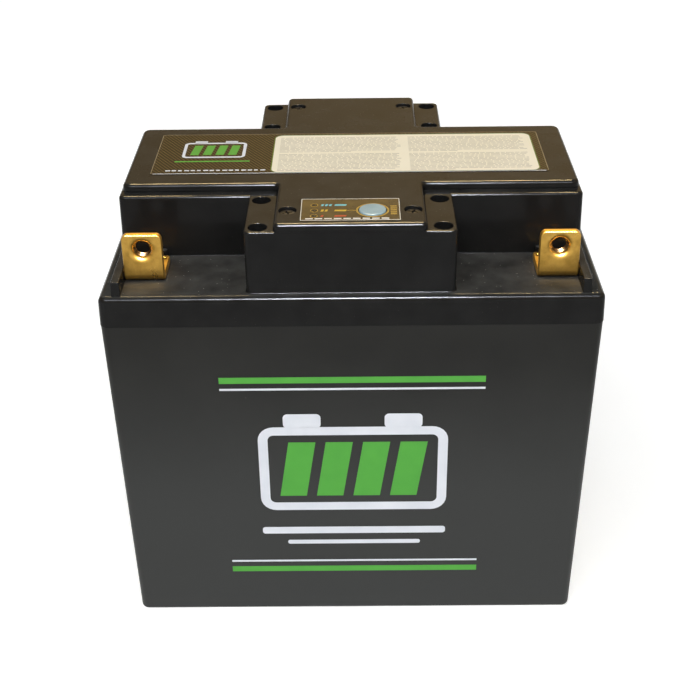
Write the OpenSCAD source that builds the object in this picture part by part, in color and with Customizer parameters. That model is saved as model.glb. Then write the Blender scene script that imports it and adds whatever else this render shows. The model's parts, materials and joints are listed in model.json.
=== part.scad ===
// Lithium motorcycle battery: a drafted case, a lid with a cross-shaped tower, brass L terminals,
// a charge indicator with a test button, and a pack of twelve cells under a balance board.
// Millimetres, +Z up, the front faces -Y, and the origin is the centre of the base.

/* [Case] */
// Width over the lid's skirt
rim_w = 166; // [164:1:180]
// Depth over the lid's skirt
rim_d = 126; // [124:1:140]
// Height of the case, from the base to the lid's skirt
case_h = 123.2; // [120:0.2:150]
// How far each wall leans out from the base to the top
case_draft = 2.2; // [0.5:0.1:2.5]
// Thickness of the case walls
case_wall = 3.2; // [3:0.1:3.6]
// Thickness of the floor
floor_t = 3; // [2.5:0.1:4]
// Radius of the upright corners
corner_r = 3; // [2.6:0.1:4]
// Radius of the edge round the base
base_edge = 1.5; // [0.5:0.1:2.5]
// How far the skirt stands out past the case
skirt_overhang = 0.2; // [0.1:0.1:0.6]
// Height of the tongue that stands up inside the skirt
tongue_h = 5; // [3:0.5:6]
// Thickness of the tongue
tongue_t = 1.5; // [1.2:0.1:1.8]
// Gap between the tongue and the skirt
tongue_gap = 0.2; // [0.1:0.05:0.3]

/* [Lid] */
// Height of the skirt, from its lower edge to the ledge
skirt_h = 10.8; // [10:0.2:14]
// Thickness of the ledge
ledge_t = 3; // [2.6:0.1:3.4]
// Height of the tower above the ledge
tower_h = 21.9; // [20:0.1:26]
// Width of the ledge at each side of the tower
side_ledge = 4.1; // [3.8:0.1:4.6]
// Depth of a terminal seat, from the skirt to the tower
seat_d = 31.7; // [31:0.1:33]
// Width of the bosses in front of and behind the tower, with their tabs
boss_w = 68.4; // [67:0.2:72]
// How far the boss faces stand back from the skirt
boss_setback = 2.8; // [2:0.1:4]
// Thickness of the tower's walls
lid_wall = 2.5; // [2:0.1:3]
// Thickness of the tower's top
lid_top = 2.5; // [2:0.1:3]
// How far the lid's walls lean in from foot to top
lid_draft = 0.4; // [0.2:0.1:0.8]
// Radius of the tower's upright corners
tower_r = 2.5; // [2:0.1:4]
// Radius of the bosses' upright corners
boss_r = 2; // [1.5:0.1:3]
// Radius of the edge round the ledge
rim_edge = 2; // [1:0.1:2.4]
// Radius of the edge round the tower
tower_edge = 1.2; // [0.8:0.1:1.6]
// Radius of the edges round the bosses
boss_edge = 0.8; // [0.5:0.1:0.8]
// Diameter of the holes in the tabs
tab_hole_d = 6; // [5:0.1:6.4]
// Depth of the holes in the tabs
tab_hole_depth = 12; // [8:0.5:14]
// Distance from a tab hole's axis to the boss's side
tab_hole_side = 4; // [3.8:0.1:4.4]
// Distance from the outer tab holes' axes to the boss face
tab_hole_front = 3.8; // [3.8:0.1:4.4]
// Distance between the two holes of a tab
tab_hole_pitch = 21.5; // [18:0.5:22]

/* [Cover] */
// Thickness of the cover
cover_t = 2.7; // [2.6:0.1:3.5]
// How far the cover stands in from the tower's sides
cover_inset_x = 0.8; // [0.6:0.1:2]
// How far the cover stands in from the tower's front and back
cover_inset_y = 3.8; // [2:0.1:5]
// Width of the cover where it runs out over the bosses
cover_arm_w = 49; // [48.4:0.2:50]
// Radius of the cover's corners
cover_r = 3; // [2:0.1:4]
// Radius of the cover's top edges
cover_edge = 1.3; // [0.6:0.1:1.3]
// Distance of the cover screws from the middle, left and right
cover_screw_x = 20.4; // [20:0.1:20.8]
// Diameter of the recesses for the cover screws
cover_recess_d = 5.8; // [5.6:0.1:6]
// Depth of the recesses for the cover screws
cover_recess_depth = 1.9; // [1.6:0.1:2]
// Width of the label
label_w = 137.6; // [110:0.2:145]
// Depth of the label, front to back
label_d = 37.7; // [30:0.1:42]
// How far the label lies left of the middle
label_left = 0.4; // [0:0.1:1]
// How far the label lies behind the middle
label_y = 0.6; // [0:0.1:3]
// Thickness of the label
label_t = 0.2; // [0.1:0.05:0.4]

/* [Indicator] */
// Width of the overlay
overlay_w = 32.3; // [31:0.1:33]
// Depth of the overlay, front to back
overlay_d = 17.1; // [16.6:0.1:18]
// Thickness of the overlay
overlay_t = 0.9; // [0.7:0.1:1.2]
// How much of the overlay's thickness lies in the cover's recess
overlay_sunk = 0.7; // [0.4:0.1:0.8]
// Distance from the cover's front edge back to the overlay
overlay_front = 2.1; // [1.8:0.1:2.4]
// Diameter of the test button
button_d = 8.8; // [7:0.1:9]
// How far right of the middle the test button is
button_x = 7.2; // [7:0.1:8]
// How far the test button lies in front of the overlay's middle
button_front = 0.9; // [0.6:0.1:1.2]
// How far the test button stands above the overlay
button_proud = 0.6; // [0.5:0.1:1]
// Travel of the test button
button_travel = 0.5; // [0.3:0.1:0.5]
// Gap round the test button
button_gap = 0.2; // [0.15:0.05:0.3]
// Distance between the lamps
led_pitch = 4.25; // [4:0.05:4.5]
// How far left of the middle the lamps are
led_x = 11.7; // [11.2:0.1:12]
// Diameter of the lamps
led_d = 3; // [2:0.1:3]
// Width of the indicator's board
indicator_w = 30; // [29:0.5:31]
// Depth of the indicator's board
indicator_d = 15; // [14.5:0.1:15.4]
// Distance from the cover down to the indicator's board
indicator_drop = 5.5; // [5.4:0.1:7]
// Height of the push switch's housing
switch_h = 3.5; // [3:0.1:3.6]
// Side of the push switch's housing
switch_w = 6; // [5:0.1:6.4]
// Diameter of the push switch's stem
switch_stem_d = 3.4; // [2.5:0.1:3.5]

/* [Terminals] */
// Width of a terminal
terminal_w = 13.2; // [12.6:0.1:13.4]
// Height of a terminal above the ledge
terminal_h = 17.2; // [17:0.1:20]
// Thickness of the brass
terminal_t = 2.5; // [2:0.1:3]
// Gap between a terminal's foot and the tower
foot_gap = 4.5; // [3.2:0.1:5.8]
// Distance from the skirt's side to a terminal's middle
terminal_side = 14.6; // [14.4:0.1:15]
// How far the terminals' faces stand back from the skirt
terminal_setback = 11.5; // [11.5:0.1:12]
// Height of the tapped hole's axis above the ledge
tap_z = 11.9; // [11:0.1:12.4]
// Diameter of the tapped hole
tap_d = 6; // [5:0.1:6]
// Radius of the flare at the mouth of the tapped hole
tap_flare = 1.4; // [0.8:0.1:1.6]
// Length of the collar behind the tapped hole
collar_l = 2; // [1.6:0.1:3]
// Outer radius of the bend
bend_r = 3; // [2.6:0.1:3.5]
// Radius of the terminal's upper corners
terminal_r = 2; // [1:0.1:3]
// Diameter of the stud under the foot
stud_d = 5.9; // [5:0.1:6]
// Distance from the terminal's face back to the stud
stud_back = 8.6; // [8:0.1:9]
// Height of the guard beside a terminal
guard_h = 5; // [3:0.1:8]
// Height of the peg behind a terminal's foot
peg_h = 3; // [2:0.1:5]
// Diameter of the peg behind a terminal's foot
peg_d = 2.4; // [1.6:0.1:3]
// How far the guards' front ends stand back from the skirt
guard_setback = 1.8; // [1.6:0.1:3]
// Thickness of the guard beside a terminal
guard_t = 3; // [2:0.1:3.2]
// Gap between a terminal and its guard
guard_gap = 0.2; // [0.15:0.05:0.3]
// Thickness of the copper straps
strap_t = 2; // [1.5:0.1:2]
// Width of the copper straps
strap_w = 14; // [12:0.5:14]

/* [Pack] */
// Diameter of a cell
cell_d = 26.2; // [25:0.1:26.4]
// Height of a cell
cell_h = 65.5; // [60:0.5:68]
// Gap between neighbouring cells
cell_gap = 2.3; // [1.8:0.1:2.5]
// Gap between the pack and the front wall, at the floor
pack_clear = 5.3; // [4.3:0.1:7.3]
// Height of the floor's bosses, which carry the pack
pack_lift = 5; // [4:0.5:8]
// Depth of the holders' pockets
pocket_depth = 8; // [6:0.5:12]
// Thickness of the web at the bottom of the pockets
web_t = 1.5; // [1.2:0.1:2]
// Thickness of the holders' outer walls
holder_wall = 2.5; // [2:0.1:2.7]
// Thickness of the bus plates
bus_t = 1; // [0.6:0.1:1.2]
// Width of a bus plate over one column of cells
bus_w = 17; // [16:0.5:18]
// Height of the standoffs under the balance board
standoff_h = 7; // [5:0.5:12]
// Width of the balance board
balance_w = 80; // [78:1:84]
// Depth of the balance board
balance_d = 80; // [80:0.5:82]
// Thickness of the circuit boards
board_t = 1.6; // [1.2:0.1:1.6]

/* [Hidden] */
$fn = 64;
HULL_FN = 32;
eps = 0.01;

// Clearances and small parts that are bought in
screw_gap = 0.15;
seat_gap = 0.1;
skirt_draft = 0.2;
cover_draft = 0.1;
floor_edge = 0.5;
inner_r = 1;
hollow_r = 0.8;
rail_w = 3;
screw_wall = 1.7;
label_r = 1;
peg_sink = 0.2;
window_side = 0.5;
window_front = 0.3;
cover_screw_d = 2.8;
cover_screw_l = 10;
cover_head_d = 5.2;
cover_head_h = 1.1;
cover_cross = 3.4;
cover_screw_turn = 20;
indicator_screw_d = 1.9;
indicator_screw_l = 5.6;
indicator_head_d = 3.6;
indicator_head_h = 1.3;
indicator_cross = 2.2;
post_r = 2;
post_x = -1.8;
post_reach = 5.4;
led_flange = 0.4;
led_foot_h = 1;
led_rise = 0.2;
switch_stem_rise = 1.1;
switch_stem_depth = 1.9;
switch_play = 0.2;
button_flange = 0.8;
button_flange_t = 0.7;
collar_wall = 0.9;
seal_d = 1.2;
seal_play = 0.2;
washer_d = 12;
washer_t = 1.6;
nut_af = 10;
nut_t = 5;
punch_d = 1.6;
lug_reach = 7;
riser_gap = 0.8;
strap_lap = 13;
tie_d = 4;
tie_head_d = 7;
tie_head_h = 2.8;
tie_cross = 4.4;
tie_end_gap = 0.5;
tie_boss_r = 4.5;
tie_bite = 6.5;
spacer_d = 8;
stand_d = 5.5;
stand_stud_d = 2.4;
stand_stud_l = 6;
stand_edge = 4;
board_screw_d = 2.4;
board_screw_l = 6;
board_head_d = 4.6;
board_head_h = 1.6;
board_cross = 2.8;
lug_w = 6;
lug_lap = 2;
tail_gap = 0.3;
sense_t = 1;
bus_tie_gap = 0.8;
pad_d = 13;
cell_bevel = 1;
cell_cap_d = 14;
cell_cap_h = 1.2;
pocket_window_d = 17.5;
holder_r = 4;
resistor_size = [6.4, 3.2, 0.8];
resistor_pitch = 8;
resistor_back = 16;
chip_size = [6, 5, 1.6];
chip_front = 2;
chip_share = 4.7;
socket_size = [10, 6, 7];
socket_x = 20;
socket_front = 16;
lead_d = 3;
lead_sides = 8;
lead_rings = 20;
lead_rise = 24;
lead_end_x = 4;
lead_end_back = 1;

// Heights, from the base up
ledge_z = case_h + skirt_h;
under_z = ledge_z - ledge_t;
tower_z = ledge_z + tower_h;
cover_z = tower_z + cover_t;
overlay_z = cover_z - overlay_sunk + overlay_t;
tongue_z = case_h + tongue_h;
pack_z = floor_t + pack_lift;
cell_z = pack_z + bus_t + web_t;
cell_top = cell_z + cell_h;
pack_top = cell_top + web_t + bus_t;
balance_z = pack_top + standoff_h;
balance_top = balance_z + board_t;
holder_h = bus_t + web_t + pocket_depth;
indicator_z = tower_z - indicator_drop;

// Outlines, from the outside in
case_w = rim_w - 2 * skirt_overhang;
case_d = rim_d - 2 * skirt_overhang;
skirt_t = skirt_overhang + case_wall - tongue_t - tongue_gap;
tongue_w = rim_w - 2 * (skirt_t + tongue_gap);
tongue_d = rim_d - 2 * (skirt_t + tongue_gap);
tongue_r = corner_r - skirt_t - tongue_gap;
tower_w = rim_w - 2 * side_ledge;
tower_d = rim_d - 2 * seat_d;
boss_d = rim_d - 2 * boss_setback;
arm_d = boss_d - 2 * lid_draft;
overlay_y = arm_d / 2 - overlay_front - overlay_d / 2;
cover_screw_y = overlay_y;
cover_w = tower_w - 2 * lid_draft - 2 * cover_inset_x;
cover_d = tower_d - 2 * lid_draft - 2 * cover_inset_y;

// Places of the terminals and of what stands beside them
terminal_x = rim_w / 2 - terminal_side;
terminal_y = -rim_d / 2 + terminal_setback;
stud_y = terminal_y + stud_back;
foot_l = seat_d - terminal_setback - foot_gap;
guard_x = terminal_x + terminal_w / 2 + guard_gap;
guard_y = -rim_d / 2 + guard_setback;
peg_x = terminal_x - terminal_w / 2 + peg_d;
peg_y = tower_d / 2 + peg_d / 2 - peg_sink;

// Places of the tab holes and of the indicator's parts
tab_x = boss_w / 2 - lid_draft - tab_hole_side;
tab_outer_y = boss_d / 2 - lid_draft - tab_hole_front;
tab_rows = [tab_outer_y - tab_hole_pitch, tab_outer_y];
button_y = -overlay_y - button_front;
button_r = button_d / 2;
led_rows = [button_y + led_pitch, button_y, button_y - led_pitch];
posts = [[post_x, -overlay_y - post_reach], [post_x, -overlay_y + post_reach]];
window_w = indicator_w + 2 * window_side;
window_d = indicator_d + 2 * window_front;

// Places in the pack
pitch = cell_d + cell_gap;
holder_w = 3 * pitch + cell_d + 2 * holder_wall;
holder_d = 2 * pitch + cell_d + 2 * holder_wall;
pack_front = case_d / 2 - case_wall - case_draft - holder_d / 2 - pack_clear;
columns = [for (i = [-1.5 : 1 : 1.5]) i * pitch];
rows = [for (j = [-1 : 1]) j * pitch - pack_front];
holder_back = -pack_front + holder_d / 2;
tie_points = [for (x = [-pitch, pitch], y = [-pitch / 2, pitch / 2]) [x, y - pack_front]];
stand_points = [for (x = [-pitch, pitch], y = [-1, 1]) [x, y * (balance_d / 2 - stand_edge) - pack_front]];
bus_end = pitch + bus_w / 2;
board_columns = [for (i = [-1.5 : 1 : 1.5]) i * balance_w / chip_share];
socket_at = [socket_x, -pack_front - socket_front];

// A strap rises between the pack and the stud, or outside the stud where that gap is too narrow
riser_in = holder_w / 2 + riser_gap;
riser_room = riser_in + strap_t + washer_d / 2 + seat_gap;
riser_x = riser_room < terminal_x ? riser_in : max(riser_in, terminal_x + lug_reach);

// The lead's curve, which leaves the socket and meets the indicator's board upright
lead_from = [socket_at.x, socket_at.y, balance_top + socket_size.z];
lead_to = [lead_end_x, -overlay_y + lead_end_back, indicator_z - board_t];
lead_path = [
    lead_from, lead_from + [0, 0, lead_rise],
    lead_to - [0, 0, lead_rise], lead_to
];

// Colours, as the object shows them
BLACK = "#262625";
SATIN = "#3a3a37";
BRASS = "#b08d45";
STEEL = "#b9bcc0";
COPPER = "#b87348";
NICKEL = "#c9c6bd";
BOARD = "#1f6b3c";
SLEEVE = "#3d8a6b";

// Shared shapes

// A rectangle with round corners
module round_rect(w, d, r) {
    union() {
        square([w - 2 * r, d], center = true);
        square([w, d - 2 * r], center = true);
        for (x = [-1, 1], y = [-1, 1])
            translate([x * (w / 2 - r), y * (d / 2 - r)])
                circle(r);
    }
}

// A flat ring between two rectangles with round corners
module round_ring(w, d, r, t, h) {
    linear_extrude(h)
        difference() {
            round_rect(w, d, r);
            round_rect(w - 2 * t, d - 2 * t, inner_r);
        }
}

// An upright post whose edge is round at one end
module soft_post(r, h, edge) {
    rotate_extrude($fn = HULL_FN)
        polygon(concat(
            [[0, 0], [r, 0]],
            [for (a = [0 : 15 : 90]) [r - edge + edge * cos(a), h - edge + edge * sin(a)]],
            [[0, h]]
        ));
}

// A block whose walls lean in by draft from its foot, with round corners and a round top edge
module soft_block(w, d, h, r, edge, draft) {
    hull()
        for (x = [-1, 1], y = [-1, 1]) {
            translate([x * (w / 2 - r), y * (d / 2 - r)])
                cylinder(h = eps, r = r, $fn = HULL_FN);
            translate([x * (w / 2 - draft - r), y * (d / 2 - draft - r), h / 2])
                soft_post(r, h / 2, edge);
        }
}

// The block between two plain rectangles with round corners, each draft narrower at its foot
module jar_block(w, d, h, r, edge, draft) {
    hull()
        for (x = [-1, 1], y = [-1, 1]) {
            translate([x * (w / 2 - draft - r), y * (d / 2 - draft - r), 2 * edge])
                mirror([0, 0, 1])
                    soft_post(r, 2 * edge, edge);
            translate([x * (w / 2 - r), y * (d / 2 - r), h - eps])
                cylinder(h = eps, r = r, $fn = HULL_FN);
        }
}

// A pan head over a shank that hangs down, with the underside of the head at z = 0
module screw(head_d, head_h, d, l, cross) {
    difference() {
        union() {
            cylinder(h = head_h, d = head_d);
            translate([0, 0, -l])
                cylinder(h = l + eps, d = d);
        }
        for (a = [0, 90])
            rotate(a)
                translate([-cross / 2, -head_h / 4, head_h * 0.4])
                    cube([cross, head_h / 2, head_h]);
    }
}

// The case and the lid

module case() {
    color(SATIN)
        difference() {
            union() {
                difference() {
                    jar_block(case_w, case_d, case_h, corner_r - skirt_overhang, base_edge, case_draft);
                    translate([0, 0, floor_t])
                        jar_block(case_w - 2 * case_wall, case_d - 2 * case_wall, case_h - floor_t + 2 * eps,
                            inner_r, floor_edge, case_draft);
                }
                translate([0, 0, case_h - 1])
                    round_ring(tongue_w, tongue_d, tongue_r, tongue_t, tongue_h + 1);
                for (y = rows)
                    translate([-holder_w / 2, y - rail_w / 2, floor_t - 1])
                        cube([holder_w, rail_w, pack_lift + 1]);
                for (p = tie_points)
                    translate([p.x, p.y, floor_t - 1])
                        cylinder(h = pack_lift + 1, r = tie_boss_r);
            }
            for (p = tie_points)
                translate([p.x, p.y, pack_z - tie_bite])
                    cylinder(h = tie_bite + 1, d = tie_d + screw_gap);
        }
}

// The outside of the lid: the skirt and ledge, the tower, and the bosses in front and behind
module lid_outside() {
    translate([0, 0, case_h])
        soft_block(rim_w, rim_d, skirt_h, corner_r, rim_edge, skirt_draft);
    translate([0, 0, ledge_z - 1])
        soft_block(tower_w, tower_d, tower_h + 1, tower_r, tower_edge, lid_draft);
    translate([0, 0, ledge_z - 1])
        soft_block(boss_w, boss_d, tower_h + 1, boss_r, boss_edge, lid_draft);
}

// The hollow under the ledge, and the hollow that reaches up into the tower and bosses
module lid_hollow() {
    translate([0, 0, case_h - 1])
        linear_extrude(skirt_h - ledge_t + 1)
            round_rect(rim_w - 2 * skirt_t, rim_d - 2 * skirt_t, corner_r - skirt_t);
    translate([0, 0, under_z - 1])
        linear_extrude(tower_z - lid_top - under_z + 1)
            union() {
                round_rect(tower_w - 2 * lid_wall, tower_d - 2 * lid_wall, hollow_r);
                square([boss_w - 2 * lid_wall, boss_d - 2 * lid_wall], center = true);
            }
}

// What stands inside the hollow: solid columns under the tabs, and posts for the cover screws
module lid_columns() {
    column_x = cover_arm_w / 2 + 1;
    for (x = [0, 1], y = [0, 1])
        mirror([x, 0, 0])
            mirror([0, y, 0]) {
                translate([column_x, tower_d / 2 - 1, tower_z - tab_hole_depth - 2])
                    cube([
                        boss_w / 2 - lid_draft - 1 - column_x,
                        boss_d / 2 - tower_d / 2 - lid_draft,
                        tab_hole_depth + 1
                    ]);
                translate([cover_screw_x, cover_screw_y, tower_z - cover_screw_l - 1])
                    cylinder(h = cover_screw_l, d = cover_screw_d + 2 * screw_wall);
            }
}

// The guard beside each terminal seat and the peg behind it
module lid_guards() {
    for (x = [0, 1], y = [0, 1])
        mirror([x, 0, 0])
            mirror([0, y, 0]) {
                translate([guard_x, guard_y, ledge_z - 1])
                    cube([guard_t, -guard_y - tower_d / 2 + 1, guard_h + 1]);
                translate([peg_x, -peg_y, ledge_z - 1])
                    cylinder(h = peg_h + 1, d = peg_d);
            }
}

module lid() {
    color(BLACK)
        difference() {
            union() {
                difference() {
                    lid_outside();
                    lid_hollow();
                }
                lid_columns();
                lid_guards();
            }
            for (x = [-tab_x, tab_x], y = [-1, 1], row = tab_rows)
                translate([x, y * row, tower_z - tab_hole_depth])
                    cylinder(h = tab_hole_depth + 1, d = tab_hole_d);
            for (x = [-1, 1], y = [-1, 1])
                translate([x * cover_screw_x, y * cover_screw_y, tower_z - cover_screw_l])
                    cylinder(h = cover_screw_l + 1, d = cover_screw_d + screw_gap);
            for (x = [-terminal_x, terminal_x])
                translate([x, stud_y, 0]) {
                    translate([0, 0, under_z - 1])
                        cylinder(h = ledge_t + 2, d = stud_d + 2 * screw_gap);
                    translate([0, 0, ledge_z - seal_d])
                        cylinder(h = seal_d + 1, d = stud_d + 2 * seal_d + 1);
                }
            translate([-window_w / 2, -overlay_y - window_d / 2, tower_z - lid_top - 1])
                cube([window_w, window_d, lid_top + 2]);
        }
}

module lid_seal() {
    color("#4a4a48")
        translate([0, 0, tongue_z])
            round_ring(tongue_w, tongue_d, tongue_r, tongue_t, under_z - tongue_z);
}

// The cover, its screws and its label

module top_cover() {
    color(BLACK)
        difference() {
            union() {
                translate([0, 0, tower_z]) {
                    soft_block(cover_w, cover_d, cover_t, cover_r, cover_edge, cover_draft);
                    soft_block(cover_arm_w, arm_d, cover_t, boss_r, cover_edge, cover_draft);
                }
                for (p = posts)
                    translate([p.x, p.y, indicator_z])
                        cylinder(h = indicator_drop + 1, r = post_r);
            }
            for (x = [-1, 1], y = [-1, 1])
                translate([x * cover_screw_x, y * cover_screw_y, 0]) {
                    translate([0, 0, cover_z - cover_recess_depth])
                        cylinder(h = cover_recess_depth + 1, d = cover_recess_d);
                    translate([0, 0, tower_z - 1])
                        cylinder(h = cover_t + 2, d = cover_screw_d + 2 * screw_gap);
                }
            translate([0, -overlay_y, cover_z - overlay_sunk])
                linear_extrude(overlay_sunk + 1)
                    square([overlay_w + 2 * seat_gap, overlay_d + 2 * seat_gap], center = true);
            translate([button_x, button_y, tower_z - 1])
                cylinder(h = cover_t + 2, r = button_r + button_gap);
            for (y = led_rows)
                translate([-led_x, y, tower_z - 1])
                    cylinder(h = cover_t + 2, d = led_d + 2 * seat_gap);
            for (p = posts)
                translate([p.x, p.y, indicator_z - 1])
                    cylinder(h = indicator_screw_l, d = indicator_screw_d + screw_gap);
        }
}

module cover_screws() {
    color(STEEL)
        for (x = [-1, 1], y = [-1, 1])
            translate([x * cover_screw_x, y * cover_screw_y, cover_z - cover_recess_depth])
                rotate(x * y * cover_screw_turn)
                    screw(cover_head_d, cover_head_h, cover_screw_d, cover_screw_l, cover_cross);
}

module top_label() {
    color("#463c30")
        translate([-label_left, label_y, cover_z])
            linear_extrude(label_t)
                round_rect(label_w, label_d, label_r);
}

// The charge indicator

module indicator_overlay() {
    color("#68633e")
        translate([0, -overlay_y, cover_z - overlay_sunk])
            linear_extrude(overlay_t)
                difference() {
                    square([overlay_w, overlay_d], center = true);
                    translate([button_x, button_y + overlay_y])
                        circle(button_r + button_gap);
                }
}

module test_button() {
    flange_z = indicator_z + switch_h + switch_stem_rise;
    color("#9fb7ba")
        translate([button_x, button_y, flange_z]) {
            cylinder(h = button_flange_t, r = button_r + button_flange);
            cylinder(h = overlay_z + button_proud - flange_z, r = button_r);
        }
}

module switch_stem() {
    color("#d8d4c8")
        translate([button_x, button_y, indicator_z + switch_h - switch_stem_depth])
            cylinder(h = switch_stem_depth + switch_stem_rise, d = switch_stem_d);
}

module switch_body() {
    bore = switch_stem_depth + button_travel + switch_play;
    color("#1d1d1d")
        translate([button_x, button_y, indicator_z])
            difference() {
                translate([-switch_w / 2, -switch_w / 2, 0])
                    cube([switch_w, switch_w, switch_h]);
                translate([0, 0, switch_h - bore])
                    cylinder(h = bore + 1, d = switch_stem_d + 2 * seat_gap);
            }
}

module indicator_board() {
    color(BOARD)
        translate([0, 0, indicator_z - board_t])
            linear_extrude(board_t)
                difference() {
                    translate([0, -overlay_y])
                        square([indicator_w, indicator_d], center = true);
                    for (p = posts)
                        translate(p)
                            circle(d = indicator_screw_d + 2 * screw_gap);
                }
}

// A lamp with a flange at its foot and a round top
module led(y, tint) {
    color(tint)
        translate([-led_x, y, indicator_z]) {
            cylinder(h = led_foot_h, d = led_d + 2 * led_flange);
            cylinder(h = indicator_drop + led_rise, d = led_d);
            translate([0, 0, indicator_drop + led_rise])
                sphere(d = led_d);
        }
}

module indicator_screws() {
    color(STEEL)
        for (p = posts)
            translate([p.x, p.y, indicator_z - board_t])
                mirror([0, 0, 1])
                    screw(indicator_head_d, indicator_head_h, indicator_screw_d, indicator_screw_l,
                        indicator_cross);
}

// The place and the direction on a cubic curve at t
function curve(p, t) =
    p[0] * pow(1 - t, 3) + 3 * p[1] * t * pow(1 - t, 2) + 3 * p[2] * t * t * (1 - t) + p[3] * pow(t, 3);
function slope(p, t) =
    (p[1] - p[0]) * pow(1 - t, 2) + 2 * (p[2] - p[1]) * t * (1 - t) + (p[3] - p[2]) * t * t;

// One ring of points round the lead, square to its direction
function ring(p, t, r) =
    let (d = slope(p, t) / norm(slope(p, t)),
         side = cross(d, [0, 1, 0]) / norm(cross(d, [0, 1, 0])),
         up = cross(side, d))
    [for (i = [0 : lead_sides - 1])
        curve(p, t) + r * (cos(i * 360 / lead_sides) * side + sin(i * 360 / lead_sides) * up)];

module indicator_lead() {
    points = [for (k = [0 : lead_rings]) each ring(lead_path, k / lead_rings, lead_d / 2)];
    last = lead_rings * lead_sides;
    color("#222222")
        polyhedron(
            points,
            concat(
                [[for (i = [0 : lead_sides - 1]) i]],
                [for (k = [0 : lead_rings - 1], i = [0 : lead_sides - 1])
                    let (j = (i + 1) % lead_sides, a = k * lead_sides)
                    [a + i, a + lead_sides + i, a + lead_sides + j, a + j]],
                [[for (i = [lead_sides - 1 : -1 : 0]) last + i]]
            )
        );
}

module lead_socket() {
    color("#e8e4d6")
        translate([socket_at.x - socket_size.x / 2, socket_at.y - socket_size.y / 2, balance_top])
            cube(socket_size);
}

// The terminals and what clamps them

// The bent section of a terminal, seen from its side, with its face at x = 0
module terminal_section() {
    inner_r = bend_r - terminal_t;
    difference() {
        union() {
            square([foot_l, terminal_t]);
            square([terminal_t, terminal_h]);
            translate([terminal_t, terminal_t])
                square(inner_r);
        }
        translate([bend_r, bend_r])
            circle(inner_r);
        difference() {
            translate([-1, -1])
                square(bend_r + 1);
            translate([bend_r, bend_r])
                circle(bend_r);
        }
    }
}

// The two upper corners that are cut away to leave round ones
module terminal_corners() {
    for (x = [0, 1])
        mirror([x, 0, 0])
            translate([terminal_w / 2 - terminal_r, 0, terminal_h - terminal_r])
                rotate([-90, 0, 0])
                    difference() {
                        translate([0, -terminal_r - 1, -1])
                            cube([terminal_r + 1, terminal_r + 1, terminal_t + 2]);
                        translate([0, 0, -2])
                            cylinder(h = terminal_t + 4, r = terminal_r);
                    }
}

module terminal(side) {
    color(BRASS)
        translate([side * terminal_x, terminal_y, ledge_z])
            difference() {
                union() {
                    translate([-terminal_w / 2, 0, 0])
                        rotate([90, 0, 90])
                            linear_extrude(terminal_w)
                                terminal_section();
                    translate([0, terminal_t - 1, tap_z])
                        rotate([-90, 0, 0])
                            cylinder(h = collar_l + 1, d = tap_d + 2 * collar_wall);
                    translate([0, stud_back, -ledge_t - strap_t - washer_t - nut_t - 1])
                        cylinder(h = ledge_t + strap_t + washer_t + nut_t + 2, d = stud_d);
                }
                terminal_corners();
                translate([0, -1, tap_z])
                    rotate([-90, 0, 0])
                        cylinder(h = terminal_t + collar_l + 2, d = tap_d);
                translate([0, 0, tap_z])
                    rotate([-90, 0, 0])
                        rotate_extrude()
                            difference() {
                                translate([0, -1])
                                    square([tap_d / 2 + tap_flare, tap_flare + 1]);
                                translate([tap_d / 2 + tap_flare, tap_flare])
                                    circle(tap_flare);
                            }
                translate([-side * (terminal_w / 2 - punch_d), foot_l - punch_d - 1, -1])
                    cylinder(h = terminal_t + 2, d = punch_d);
            }
}

module terminal_left() {
    terminal(-1);
}

module terminal_right() {
    terminal(1);
}

module terminal_seals() {
    color("#1c1c1c")
        for (x = [-terminal_x, terminal_x])
            translate([x, stud_y, ledge_z - seal_d / 2])
                rotate_extrude()
                    translate([stud_d / 2 + seal_d / 2 + seal_play, 0])
                        circle(d = seal_d);
}

module terminal_washers() {
    color(STEEL)
        for (x = [-terminal_x, terminal_x])
            translate([x, stud_y, under_z - strap_t - washer_t])
                difference() {
                    cylinder(h = washer_t, d = washer_d);
                    translate([0, 0, -1])
                        cylinder(h = washer_t + 2, d = stud_d + 2 * screw_gap);
                }
}

module terminal_nuts() {
    color(BRASS)
        for (x = [-terminal_x, terminal_x])
            translate([x, stud_y, under_z - strap_t - washer_t - nut_t])
                difference() {
                    rotate(30)
                        cylinder(h = nut_t, d = nut_af / cos(30), $fn = 6);
                    translate([0, 0, -1])
                        cylinder(h = nut_t + 2, d = stud_d + screw_gap);
                }
}

// A strap that lies on a bus plate, rises beside the pack and ends in a lug round the stud
module strap(side) {
    plate_in = columns[3] + bus_w / 2 - strap_lap;
    lug_in = min(riser_x, terminal_x - lug_reach);
    lug_out = max(riser_x + strap_t, terminal_x + lug_reach);
    color(COPPER)
        difference() {
            translate([0, stud_y + strap_w / 2, 0])
                rotate([90, 0, 0])
                    linear_extrude(strap_w)
                        on_side(side)
                            union() {
                                translate([plate_in, pack_top])
                                    square([riser_x + strap_t - plate_in, strap_t]);
                                translate([riser_x, pack_top])
                                    square([strap_t, under_z - pack_top]);
                                translate([lug_in, under_z - strap_t])
                                    square([lug_out - lug_in, strap_t]);
                            }
            translate([side * terminal_x, stud_y, under_z - strap_t - 1])
                cylinder(h = strap_t + 2, d = stud_d + 2 * screw_gap);
        }
}

// Keeps a shape for the right side, and mirrors it for the left
module on_side(side) {
    mirror([side < 0 ? 1 : 0, 0, 0])
        children();
}

module strap_negative() {
    strap(-1);
}

module strap_positive() {
    strap(1);
}

// The pack

// The flat outline of a bus plate over columns a to b, with room round the tie screws
module bus_outline(a, b, gap) {
    difference() {
        translate([columns[a] - bus_w / 2 - gap, -pack_front - bus_end - gap])
            square([columns[b] - columns[a] + bus_w + 2 * gap, 2 * (bus_end + gap)]);
        for (p = tie_points)
            translate(p)
                circle(tie_boss_r + bus_tie_gap - gap);
    }
}

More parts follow.
